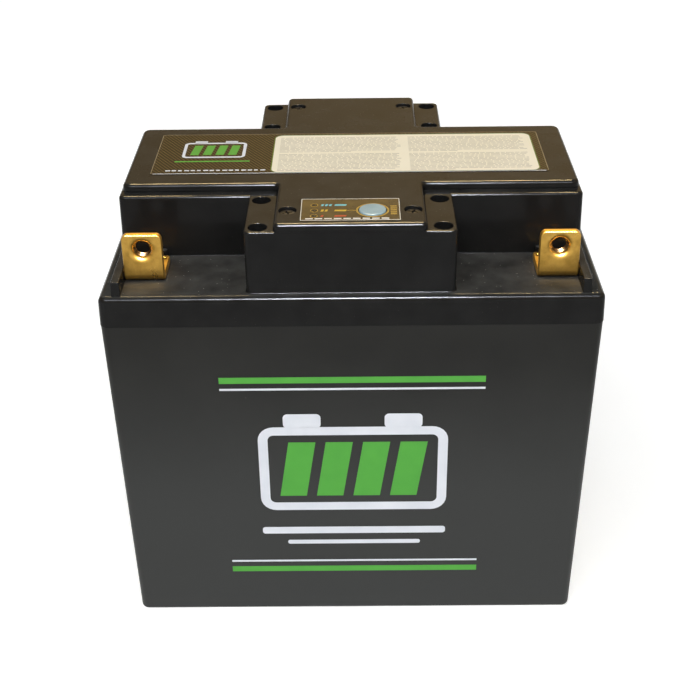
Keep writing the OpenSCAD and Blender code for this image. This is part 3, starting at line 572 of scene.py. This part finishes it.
class BATTERY_OT_case(Operator):
    """Dresses the case, with its round corners shaded as one surface"""
    bl_idname = "battery.case"
    bl_label = "Case"

    def execute(self, context):
        bm = bmesh.new()
        bm.from_mesh(frame["nodes"]["case"].data)
        bmesh.ops.scale(bm, vec=(1 / MM, 1 / MM, 1 / MM), verts=bm.verts)
        bmesh.ops.remove_doubles(bm, verts=bm.verts, dist=0.002)
        bmesh.ops.dissolve_limit(bm, angle_limit=math.radians(0.8), verts=bm.verts, edges=bm.edges)
        piece("case_shell", bm, matt_abs(context.scene.battery_colours), "battery", ("case",))
        return {"FINISHED"}


class BATTERY_OT_lid(Operator):
    """Makes the lid, its cover and the cover's screws"""
    bl_idname = "battery.lid"
    bl_label = "Lid and cover"

    def execute(self, context):
        sizes, colours = context.scene.battery_sizes, context.scene.battery_colours
        plastic = polished_abs(colours)
        edge, cove = sizes.mould_edge / MM, sizes.foot_cove / MM
        piece("lid_moulding", self.lid(edge, cove), plastic, "battery", ("lid",))
        piece("cover_moulding", self.cover(), plastic, "battery", ("top_cover",))
        steel = finish("Steel black oxide screw", "#1f1f20", "#2c2c2e", 0.3, (0.25, 0.38), 2.0, 0.004, Metallic=1.0)
        heads = self.screws(sizes.screw_edge / MM)
        piece("cover_screw_set", heads, steel, "battery", ("cover_screws",))
        return {"FINISHED"}

    def lid(self, edge, cove):
        """A skirt and ledge that carry a hollow cross-shaped tower, with guards and pegs beside the terminals."""
        ends = [(x, y) for x in (-1, 1) for y in (-1, 1)]
        rim = stacked(oblong(*RIM, 3.0), wall(SEAM_Z, LEDGE_Z, 0.2, 2.3, foot=0.25))
        tower = stacked(oblong(*TOWER, 2.5), wall(LEDGE_Z, TOWER_Z, 0.4, 1.2, cove=0.3 * cove))
        boss = stacked(oblong(*BOSS, 2.0), wall(LEDGE_Z, TOWER_Z, 0.0, 0.8, cove=cove))
        under = stacked(oblong(RIM[0] - 3.4, RIM[1] - 3.4, 1.3), wall(SEAM_Z - 1, LEDGE_Z - 3))
        inside = [[side - 5 for side in part] for part in (TOWER, BOSS)]
        hollow = stacked(cross(*inside, 0.8, 0.5, 0.5), wall(LEDGE_Z - 4, TOWER_Z - 2.5))
        columns = [stacked(oblong(7.3, 28.5, 0.5, (29.15 * x, 44.55 * y)), wall(TOWER_Z - 14, TOWER_Z - 1))
                   for x, y in ends]
        posts = [turned([(0, -11), (3.1, -11), (3.1, -1), (0, -1)], (SCREW_AT[0] * x, SCREW_AT[1] * y, TOWER_Z))
                 for x, y in ends]
        guards = [stacked(oblong(3.0, 30.9, edge, (76.7 * x, 45.75 * y)), wall(LEDGE_Z - 1, LEDGE_Z + 5, 0.1, edge))
                  for x, y in ends]
        peg = [(0, -1), (1.2, -1), (1.2, 2.5), (1.05, 2.85), (0.7, 3), (0, 3)]
        pegs = [turned(peg, (64.2 * x, 32.3 * y, LEDGE_Z), 32) for x, y in ends]
        sills = [stacked(oblong(48.6, 4.0, 0.02, (0, 58.19 * y)), wall(TOWER_Z - 2, TOWER_Z)) for y in (-1, 1)]
        bores = [turned(drill(3.0, -12, 0, edge), (TAB_HOLES[0] * x, row * y, TOWER_Z))
                 for x, y in ends for row in TAB_HOLES[1:]]
        bores += [turned(drill(1.475, -10, 0), (SCREW_AT[0] * x, SCREW_AT[1] * y, TOWER_Z), 32) for x, y in ends]
        bores += [turned(drill(4.65, -1.2, 0, step=(3.1, -4)), (TERMINAL_X * x, STUD_Y, LEDGE_Z)) for x in (-1, 1)]
        window = stacked(oblong(31.0, 15.6, 0.3, (0, OVERLAY_Y)), wall(TOWER_Z - 3.5, TOWER_Z + 1))
        shell = cut(joined(rim, tower, boss), under, hollow)
        shell = joined(shell, merged(columns), merged(posts), merged(guards), merged(pegs), merged(sills))
        return cut(shell, merged(bores + [window]))

    def cover(self):
        """A plate of the tower's shape with a round edge, recessed for its screws and for the indicator."""
        plate = stacked(cross(COVER_BAR, COVER_ARM, 3.0, 2.0, 1.2), wall(TOWER_Z, COVER_Z, 0.1, 1.6, foot=0.15))
        posts = [(-1.8, OVERLAY_Y + y) for y in (-5.4, 5.4)]
        plate = joined(plate, merged([turned([(0, -5.5), (2, -5.5), (2, 1), (0, 1)], (*p, TOWER_Z)) for p in posts]))
        seats = [turned(drill(2.9, -1.9, 0, 0.25, (1.55, -3.7)), (SCREW_AT[0] * x, SCREW_AT[1] * y, COVER_Z))
                 for x in (-1, 1) for y in (-1, 1)]
        pocket = stacked(oblong(32.5, 17.3, 0.4, (0, OVERLAY_Y)), wall(COVER_Z - 0.7, COVER_Z + 1))
        holes = [turned(drill(BUTTON_HOLE, -1, COVER_Z - TOWER_Z - 1.3), (*BUTTON_AT, TOWER_Z))]
        holes += [turned(drill(1.6, -1, COVER_Z - TOWER_Z - 1.3), (LAMP_X, y, TOWER_Z), 32) for y in LAMP_ROWS]
        holes += [turned(drill(1.025, -6.5, -1.9), (*p, TOWER_Z), 32) for p in posts]
        return cut(plate, merged(seats + [pocket]), merged(holes))

    def screws(self, edge):
        """Four pan heads with a cross slot, over their shanks."""
        heads = []
        for x in (-1, 1):
            for y in (-1, 1):
                at = (SCREW_AT[0] * x, SCREW_AT[1] * y, COVER_Z - 1.9)
                rim = [(2.6 - edge * (1 - math.cos(a)), 0.95 - edge * (1 - math.sin(a))) for a in QUARTER]
                shank = [(0, -10), (1.0, -10), (1.4, -9.6), (1.4, 0), (2.6, 0)]
                head = turned(shank + rim + [(1.3, 1.07), (0, 1.1)], at)
                slot = stacked(cross((3.4, 0.6), (0.6, 3.4), 0.15, 0.15, 0.1), wall(0.35, 2.0, 0.0), 3)
                turn = Matrix.Translation(at) @ Matrix.Rotation(math.radians(20 * x * y), 4, "Z")
                bmesh.ops.transform(slot, matrix=turn, verts=slot.verts)
                heads.append(cut(head, slot))
        return merged(heads)


class BATTERY_OT_terminals(Operator):
    """Bends the brass terminals and cuts their threads"""
    bl_idname = "battery.terminals"
    bl_label = "Terminals"

    def execute(self, context):
        sizes, colours = context.scene.battery_sizes, context.scene.battery_colours
        brass = pressed_brass(colours)
        # Painted shade: the thread is given a darker brown than the brass, for the shade inside the bore
        tapped = finish("Brass tapped, painted bore shade", "#4c3820", "#32261a", 0.3, (0.16, 0.3), 1.2, 0.01, Metallic=1.0)
        mounts = {m["name"]: m for m in frame["record"]["mounts"]}
        for side, name in ((-1, "left"), (1, "right")):
            mount = mounts[f"{name}_terminal"]
            form = self.terminal(side, mount, corners_of(f"terminal_{name}"), sizes.brass_edge / MM)
            piece(f"terminal_{name}_brass", form, brass, "battery", (f"terminal_{name}",))
            self.thread(f"terminal_{name}_thread", mount, sizes, tapped)
        return {"FINISHED"}

    def strip(self, x, foot, top, edge):
        """A strip with round edges, bent up from a flat foot, drawn in to round corners at its ends."""
        half = TERMINAL_T / 2
        bend = 3.0
        mid = bend - half
        run, rise, arc = foot - bend, top - bend, mid * math.pi / 2
        whole = run + arc + rise
        corner_low, corner_top = 1.0, 2.0

        def drawn(s, r):
            return r - math.sqrt(r * r - (r - s) ** 2) if s < r else 0.0

        stops = [1 - math.cos(math.radians(a)) for a in range(0, 91, 9)]
        stations = [corner_low * s for s in stops] + [run + arc * k / 12 for k in range(13)]
        stations += [whole - corner_top * s for s in reversed(stops)]
        rings = []
        for s in stations:
            if s <= run:
                y, z, out = foot - s, half, (0.0, -1.0)
            elif s < run + arc:
                turn = (s - run) / mid
                out = (-math.sin(turn), -math.cos(turn))
                y, z = bend + mid * out[0], bend + mid * out[1]
            else:
                y, z, out = half, bend + s - run - arc, (-1.0, 0.0)
            taper = drawn(s, edge) + drawn(whole - s, edge)
            wide = TERMINAL_W / 2 - drawn(s, corner_low) - drawn(whole - s, corner_top)
            section = outline(oblong(2 * wide, 2 * (half - taper), max(edge - taper, 0.02)), 0.0, 5)
            rings.append([(x + u, TERMINAL_Y + y + t * out[0], LEDGE_Z + z + t * out[1]) for u, t in section])
        return skinned(rings)

    def terminal(self, side, mount, box, edge):
        """The bent strip with a flared tapped hole in a collar, a stud under its foot, and a punch mark."""
        x = side * TERMINAL_X
        hole_z = mount["pos_m"][2] / MM
        r = mount["dims"]["r_mm"]
        flare = (1.9, 1.3)
        level = Matrix.Translation((x, TERMINAL_Y, hole_z)) @ Matrix.Rotation(math.radians(-90), 4, "X")
        collar_r, collar_end = r + 0.9, 4.5
        lip = [(collar_r - 0.3 * (1 - math.cos(a)), collar_end - 0.3 * (1 - math.sin(a))) for a in QUARTER]
        collar = turned([(0, 1.5), (collar_r, 1.5)] + lip + [(0, collar_end)])
        mouth = [(r + flare[0] * (1 - math.sin(math.radians(a))), flare[1] * (1 - math.cos(math.radians(a))))
                 for a in range(0, 91, 10)]
        bore = turned([(0, -1), (mouth[0][0], -1)] + mouth + [(r, 6), (0, 6)])
        for form in (collar, bore):
            bmesh.ops.transform(form, matrix=level, verts=form.verts)
        lo, hi = box
        shank = [(0, lo.z), (2.5, lo.z), (2.95, lo.z + 0.45), (2.95, LEDGE_Z + 1), (0, LEDGE_Z + 1)]
        stud = turned(shank, (x, STUD_Y, 0))
        punch = turned(drill(0.8, -1, TERMINAL_T, 0.15), (x - 5.0 * side, hi.y - 2.6, LEDGE_Z), 32)
        strip = self.strip(x, hi.y - TERMINAL_Y, hi.z - LEDGE_Z, edge)
        return cut(joined(strip, collar, stud), bore, punch)

    def thread(self, name, mount, sizes, brass):
        """A helical ridge in the tapped hole, along the hole's axis."""
        x, y, z = (value / MM for value in mount["pos_m"])
        bore, run = mount["dims"]["r_mm"], mount["dims"]["length_mm"]
        pitch, depth = sizes.thread_pitch / MM, sizes.thread_depth / MM
        steps = 40
        spokes = ((bore + 0.02, -0.48), (bore - depth, -0.07), (bore - depth, 0.07), (bore + 0.02, 0.48))
        rings = []
        for k in range(int(steps * (run / pitch - 0.6)) + 1):
            angle = 2 * math.pi * k / steps
            along = y - run / 2 + 0.3 * pitch + pitch * k / steps
            rings.append([(x + r * math.cos(angle), along + share * pitch, z + r * math.sin(angle))
                          for r, share in spokes])
        piece(name, skinned(rings), brass)


class BATTERY_OT_indicator(Operator):
    """Makes the charge indicator's overlay, its print and its test button"""
    bl_idname = "battery.indicator"
    bl_label = "Charge indicator"

    def execute(self, context):
        sizes, colours = context.scene.battery_sizes, context.scene.battery_colours
        sheet = finish("Polycarbonate sheet back printed", colours.overlay, "#574622", 0.8, (0.08, 0.16), 7.0, 0.0,
                       Specular_IOR_Level=0.2)
        lo, hi = corners_of("indicator_overlay")
        edge = sizes.film_edge / MM
        plate = stacked(oblong(hi.x - lo.x, hi.y - lo.y, 0.3, (0, OVERLAY_Y)), wall(lo.z, hi.z, 0.0, edge, foot=edge))
        plate = cut(plate, turned(drill(BUTTON_HOLE, -1, 2, 0.0), (*BUTTON_AT, lo.z)))
        piece("overlay_sheet", plate, sheet, "battery", ("indicator_overlay",))
        self.print_overlay(sizes, colours, lo, hi)
        self.button(sizes, colours)
        return {"FINISHED"}

    def print_overlay(self, sizes, colours, lo, hi):
        """Level marks beside the lamps, a ring round the button, plain gold and white lines, and painted white
        highlights: a glint on each lens and a line round the sheet's edge.
        """
        x, y = BUTTON_AT
        inks = {
            "cyan": ("#6fc6d2", []), "yellow": ("#d7b23a", []), "red": ("#b8482e", []), "gold": (colours.gold, []),
            "white": ("#e8e6dc", []), "lens": ("#17130c", []),
        }
        for row, ink, marks in zip(LAMP_ROWS, ("cyan", "yellow", "red"), (3, 2, 1)):
            inks[ink][1].extend([rect(-9.6 + 1.3 * k, row - 0.7, -8.8 + 1.3 * k, row + 0.7, 0.3)
                                 for k in range(marks)])
            inks[ink][1].append(rect(-5.2, row - 0.55, -1.4, row + 0.55, 0.25))
            inks["lens"][1].append(disc(LAMP_X, row, 1.0))
            inks["gold"][1].append((disc(LAMP_X, row, 1.25), disc(LAMP_X, row, 1.02)))
            # Painted highlight: a small white dot on each lens stands in for the lamp's glint
            inks["white"][1].append(disc(LAMP_X + 0.3, row + 0.25, 0.32, 12))
        inks["gold"][1].append((disc(x, y, 5.35, 48), disc(x, y, 4.75, 48)))
        inks["gold"][1].append(rect(-1.0, y - 0.2, x - 5.3, y + 0.2))
        inks["gold"][1].extend([rect(13.0, y - 3.4 + 1.5 * k, 15.0, y - 2.5 + 1.5 * k) for k in range(5)])
        # Painted highlight: a white line just inside the sheet's edge stands in for the light its clear edge catches
        inks["white"][1].append(frame_line(lo.x + 0.12, lo.y + 0.12, hi.x - 0.12, hi.y - 0.12, 0.3, 0.22))
        inks["white"][1].extend([rect(-14.4 + 3.05 * k, lo.y + 1.0, -12.0 + 3.05 * k, lo.y + 1.75) for k in range(9)])
        for ink, (colour, shapes) in inks.items():
            paint = finish(f"Screen ink {ink}", colour, colour, 0.4, (0.16, 0.26), 3.0, Specular_IOR_Level=0.15)
            printed(f"overlay_print_{ink}", shapes, flat_at(hi.z), paint, sizes.ink_t)

    def button(self, sizes, colours):
        """A crowned cap with a round rim over the flange that keeps it in the cover."""
        silicone = finish("Silicone rubber button", colours.button, "#9cb9c1", 0.5, (0.2, 0.28), 4.0, 0.003,
                          Subsurface_Weight=0.1, Subsurface_Radius=(0.001, 0.001, 0.001), Specular_IOR_Level=0.2)
        lo, hi = corners_of("test_button")
        flange = (hi.x - lo.x) / 2
        radius = flange - 0.8
        crown = sizes.button_crown / MM
        rim = hi.z - crown
        edge = 0.35
        profile = [(0, lo.z), (flange, lo.z), (flange, lo.z + 0.7), (radius, lo.z + 0.7)]
        profile += [(radius - edge * (1 - math.cos(a)), rim - edge * (1 - math.sin(a))) for a in QUARTER]
        profile += [(0.9 * radius * math.cos(a), rim + crown * math.sin(a)) for a in QUARTER[1:-1]] + [(0, hi.z)]
        cap = turned(profile, (*BUTTON_AT, 0), 96)
        piece("test_button_cap", cap, silicone, "button", ("test_button",), 50)


class BATTERY_OT_label(Operator):
    """Makes the label on the cover, with a plain emblem and a ruled panel"""
    bl_idname = "battery.label"
    bl_label = "Top label"

    def execute(self, context):
        sizes, colours = context.scene.battery_sizes, context.scene.battery_colours
        film = printed_film(colours, sizes.stripe_pitch)
        lo, hi = corners_of("top_label")
        middle = ((lo.x + hi.x) / 2, (lo.y + hi.y) / 2)
        sheet = stacked(oblong(hi.x - lo.x, hi.y - lo.y, 1.0, middle), wall(lo.z, hi.z, 0.0, sizes.film_edge / MM))
        piece("label_film", sheet, film, "battery", ("top_label",))
        place = flat_at(hi.z)
        panel = (-27.4, lo.y + 0.75, hi.x - 3.1, hi.y - 1.9)
        pale = [frame_line(lo.x + 0.1, lo.y + 0.1, hi.x - 0.1, hi.y - 0.1, 0.9, 0.25)]
        white = [frame_line(-60.0, -3.5, -37.5, 11.0, 2.0, 1.1), rect(-56.5, 10.6, -52.0, 12.6),
                 rect(-45.5, 10.6, -41.0, 12.6)]
        for k in range(16):
            start = lo.x + 5.0 + 2.2 * k
            white.append(rect(start, lo.y + 2.6, start + 1.7 - 0.2 * (k % 3), lo.y + 3.5))
        white += [rect(lo.x + 1.0, lo.y + 0.1, hi.x - 1.0, lo.y + 0.5)]
        green = [rect(-57.2 + 4.5 * k, -0.8, -54.2 + 4.5 * k, 8.2, 1.0) for k in range(4)]
        green += [rect(-62.0, -7.4, -35.5, -6.4)]
        olive = [frame_line(panel[0] - 0.4, panel[1] - 0.4, panel[2] + 0.4, panel[3] + 0.4, 3.2, 0.4)]
        ink = sizes.ink_t
        cream = finish("Polyester film white", colours.panel, "#f4ecd4", 0.6, (0.14, 0.22), 18.0, 0.002,
                       Specular_IOR_Level=0.12)
        printed("label_panel", [rounded(*panel, 2.8)], place, cream, ink)
        inks = (("pale", "#8d8068", pale, 1.0), ("white", colours.ink_white, white, 1.2),
                ("green", colours.ink_green, green, 1.2), ("olive", "#59701f", olive, 1.2))
        for name, colour, shapes, lift in inks:
            paint = finish(f"Label ink {name}", colour, colour, 0.5, (0.15, 0.25), 6.0, Specular_IOR_Level=0.1)
            printed(f"label_print_{name}", shapes, place, paint, ink * lift)
        grey = finish("Label ink grey", "#c2bba9", "#cec7b4", 0.5, (0.15, 0.25), 6.0, Specular_IOR_Level=0.1)
        printed("label_print_grey", self.rules(panel), place, grey, ink * 1.5)
        return {"FINISHED"}

    def rules(self, panel):
        """Rows of broken lines in two columns, at the size of small print."""
        draw = random.Random(7)
        shapes = []
        columns = ((panel[0] + 2.0, panel[0] + 45.6), (panel[0] + 48.2, panel[2] - 2.0))
        for left, right in columns:
            y = panel[3] - 2.6
            for row in range(28):
                if row == 13:
                    y -= 1.15
                    continue
                stop = right - draw.uniform(0, 2) if row not in (12, 27) else left + draw.uniform(14, 28)
                x = left
                while x < stop - 0.8:
                    word = min(draw.uniform(0.9, 3.4), stop - x)
                    shapes.append(rect(x, y - 0.27, x + word, y + 0.27))
                    x += word + 0.4
                y -= 1.15
        return shapes


class BATTERY_OT_front_print(Operator):
    """Prints a plain battery sign and rules on the front of the case"""
    bl_idname = "battery.front_print"
    bl_label = "Front print"

    def execute(self, context):
        sizes, colours = context.scene.battery_sizes, context.scene.battery_colours
        place = front_face()
        white = [frame_line(-33.0, 47.0, 33.0, 83.0, 5.5, 3.4),
                 rounded(-24.0, 82.6, -11.0, 88.4, 1.6), rounded(11.0, 82.6, 24.0, 88.4, 1.6),
                 rect(-45.0, 98.2, 45.0, 99.0), rect(-45.0, 23.0, 45.0, 23.8),
                 rounded(-33.0, 36.2, 33.0, 39.2, 1.0), rounded(-24.0, 31.4, 24.0, 33.2, 0.8)]
        green = [rect(-26.0 + 13.0 * k, 53.4, -16.6 + 13.0 * k, 76.6, 3.6) for k in range(4)]
        green += [rect(-45.0, 101.0, 45.0, 103.4), rect(-45.0, 18.4, 45.0, 20.8)]
        for name, colour, second, shapes in (("white", colours.ink_white, "#dadee6", white),
                                             ("green", colours.ink_green, "#4da13a", green)):
            paint = finish(f"Pad print ink {name}", colour, second, 0.5, (0.35, 0.45), 9.0, 0.004,
                           Specular_IOR_Level=0.2)
            printed(f"front_print_{name}", shapes, place, paint, sizes.ink_t)
        return {"FINISHED"}


class BATTERY_OT_inner(Operator):
    """Gives each inner node the finish of what it is made of"""
    bl_idname = "battery.inner"
    bl_label = "Inner parts"

    def execute(self, context):
        made = {}
        for part in frame["record"]["subparts"]:
            obj = frame["nodes"][part["node"]]
            if obj.hide_render:
                continue
            slot = part["material_slot"]
            if slot not in made:
                name, base, worn, grain, rough, cloud, bump, sockets = INNER_FINISHES[slot]
                made[slot] = finish(name, base, worn, grain, rough, cloud, bump, **sockets)
            for place in obj.material_slots:
                place.material = made[slot]
        return {"FINISHED"}


class BATTERY_OT_stage(Operator):
    """Sets the floor, the lights, the world and the camera"""
    bl_idname = "battery.stage"
    bl_label = "Stage"

    def execute(self, context):
        self.floor()
        self.world(context.scene)
        self.lamp("Key softbox", (-0.7, -1.0, 1.6), (0, 0, 0.1), (1.4, 1.4), 15.5, "#ffffff")
        self.lamp("Fill softbox", (1.2, -0.8, 1.1), (0, 0, 0.1), (1.2, 1.2), 6.3, "#ffffff")
        self.lamp("Front softbox", (0.0, -1.0, 0.75), (0, 0, 0.1), (0.5, 0.4), 3.5, "#ffffff").visible_glossy = False
        self.lamp("Warm strip", (0.0, 0.55, 1.65), (0, 0, 0.15), (0.9, 0.3), 220.0, "#ffdf9f", False)
        self.lamp("Cool strip", (0.0, -0.52, 0.71), (0, 0, 0.15), (0.7, 0.1), 11.0, "#e6eeff", False)
        self.lamp("Flash", (0.0, -0.52, 0.71), (0, 0, 0.15), (0.2, 0.12), 100.0, "#eef3ff", False)
        self.boards()
        self.camera(context.scene)
        context.scene.view_settings.view_transform = "Standard"
        return {"FINISHED"}

    def floor(self):
        """A pale sweep that reads as white paper and keeps the object's shadow."""
        bm = bmesh.new()
        bmesh.ops.create_grid(bm, x_segments=8, y_segments=8, size=4.0)
        floor = placed("floor", bm)
        material, tree = bare_material("Paper sweep")
        # The paper whitens away from the object, so that no horizon shows
        away = add(tree, "ShaderNodeVectorMath", {"operation": "LENGTH"}, {}, {0: here(tree)}).outputs["Value"]
        lift = maths(tree, "MULTIPLY", shown(tree), ranged(tree, away, 0.4, 1.8, 0.5, 0.8))
        paper = add(tree, "ShaderNodeBsdfDiffuse", {}, {"Color": rgba("#e9e9e7")})
        glow = add(tree, "ShaderNodeEmission", {}, {}, {"Strength": lift})
        both = add(tree, "ShaderNodeAddShader", {}, {}, {0: paper.outputs[0], 1: glow.outputs[0]})
        add(tree, "ShaderNodeOutputMaterial", {}, {}, {"Surface": both.outputs[0]})
        floor.data.materials.append(material)

    def world(self, scene):
        """Even white light, that shows as plain white where it is seen or mirrored."""
        scene.world = bpy.data.worlds.new("Studio")
        scene.world.use_nodes = True
        tree = scene.world.node_tree
        tree.nodes.clear()
        level = ranged(tree, shown(tree), 0.0, 1.0, 0.35, 1.0)
        sky = add(tree, "ShaderNodeBackground", {}, {"Color": rgba("#ffffff")}, {"Strength": level})
        add(tree, "ShaderNodeOutputWorld", {}, {}, {"Surface": sky.outputs[0]})

    def boards(self):
        """A ring of tan boards round the table, which only gloss shows."""
        bm = bmesh.new()
        spokes = [2 * math.pi * k / 48 for k in range(48)]
        low, high = ([bm.verts.new((1.6 * math.cos(a), 1.6 * math.sin(a), z)) for a in spokes] for z in (0.25, 1.9))
        for k in range(48):
            bm.faces.new([low[k], low[k - 1], high[k - 1], high[k]])
        boards = placed("boards", bm)
        material, tree = bare_material("Tan board")
        at = axes(tree, here(tree))
        # Dimmer to the left and low down
        side = ranged(tree, at["X"], -0.5, 0.2, 0.64, 1.02)
        rise = ranged(tree, at["Z"], 0.5, 1.0, 0.7, 1.85)
        power = maths(tree, "MULTIPLY", side, rise)
        glow = add(tree, "ShaderNodeEmission", {}, {"Color": rgba("#ffd792")}, {"Strength": power})
        add(tree, "ShaderNodeOutputMaterial", {}, {}, {"Surface": glow.outputs[0]})
        boards.data.materials.append(material)
        for ray in ("camera", "diffuse", "shadow", "transmission"):
            setattr(boards, f"visible_{ray}", False)

    def lamp(self, name, place, target, size, power, colour, lights_all=True):
        """A soft rectangular lamp that faces a point, and lights everything or shows in gloss alone."""
        data = bpy.data.lights.new(name, "AREA")
        data.shape = "RECTANGLE"
        data.size, data.size_y = size
        data.energy = power
        data.color = linear(colour)
        lamp = bpy.data.objects.new(name, data)
        lamp.location = place
        lamp.rotation_euler = (Vector(target) - Vector(place)).to_track_quat("-Z", "Y").to_euler()
        lamp.visible_camera = False
        lamp.visible_diffuse = lights_all
        bpy.context.scene.collection.objects.link(lamp)
        return lamp

    def camera(self, scene):
        """The photograph's camera, from its fitted place, angles and focal length."""
        elevation, azimuth, roll = (math.radians(a) for a in (CAMERA_ELEVATION, CAMERA_AZIMUTH, CAMERA_ROLL))
        ahead = Vector((math.sin(azimuth) * math.cos(elevation), math.cos(azimuth) * math.cos(elevation),
                        -math.sin(elevation)))
        right = Vector((math.cos(azimuth), -math.sin(azimuth), 0))
        down = ahead.cross(right)
        across = math.cos(roll) * right + math.sin(roll) * down
        upward = math.sin(roll) * right - math.cos(roll) * down
        data = bpy.data.cameras.new("Camera")
        data.sensor_width = SENSOR
        data.lens = CAMERA_FOCAL * SENSOR / IMAGE
        data.shift_x = (IMAGE / 2 - CAMERA_CENTRE[0]) / IMAGE
        data.shift_y = (CAMERA_CENTRE[1] - IMAGE / 2) / IMAGE
        data.clip_start, data.clip_end = 0.01, 50.0
        camera = bpy.data.objects.new("Camera", data)
        turn = Matrix((across, upward, -ahead)).transposed()
        camera.matrix_world = Matrix.Translation(Vector(CAMERA_PLACE) * MM) @ turn.to_4x4()
        scene.collection.objects.link(camera)
        scene.camera = camera


OPERATORS = (BATTERY_OT_case, BATTERY_OT_lid, BATTERY_OT_terminals, BATTERY_OT_indicator, BATTERY_OT_label,
             BATTERY_OT_front_print, BATTERY_OT_inner, BATTERY_OT_stage)


class VIEW3D_PT_battery(Panel):
    """Lists the battery's pieces and their sizes and colours"""
    bl_label = "Motorcycle battery"
    bl_space_type = "VIEW_3D"
    bl_region_type = "UI"
    bl_category = "Battery"

    def draw(self, context):
        for operator in OPERATORS:
            self.layout.operator(operator.bl_idname)
        for group in (context.scene.battery_sizes, context.scene.battery_colours):
            box = self.layout.box()
            for name in group.__annotations__:
                box.prop(group, name)


CLASSES = (BatterySizes, BatteryColours, *OPERATORS, VIEW3D_PT_battery)


def register():
    for cls in CLASSES:
        bpy.utils.register_class(cls)
    bpy.types.Scene.battery_sizes = PointerProperty(type=BatterySizes)
    bpy.types.Scene.battery_colours = PointerProperty(type=BatteryColours)


def unregister():
    del bpy.types.Scene.battery_sizes, bpy.types.Scene.battery_colours
    for cls in reversed(CLASSES):
        bpy.utils.unregister_class(cls)


def main():
    register()
    bpy.ops.battery.case()
    bpy.ops.battery.lid()
    bpy.ops.battery.terminals()
    bpy.ops.battery.indicator()
    bpy.ops.battery.label()
    bpy.ops.battery.front_print()
    bpy.ops.battery.inner()
    bpy.ops.battery.stage()


if __name__ == "__main__":
    main()
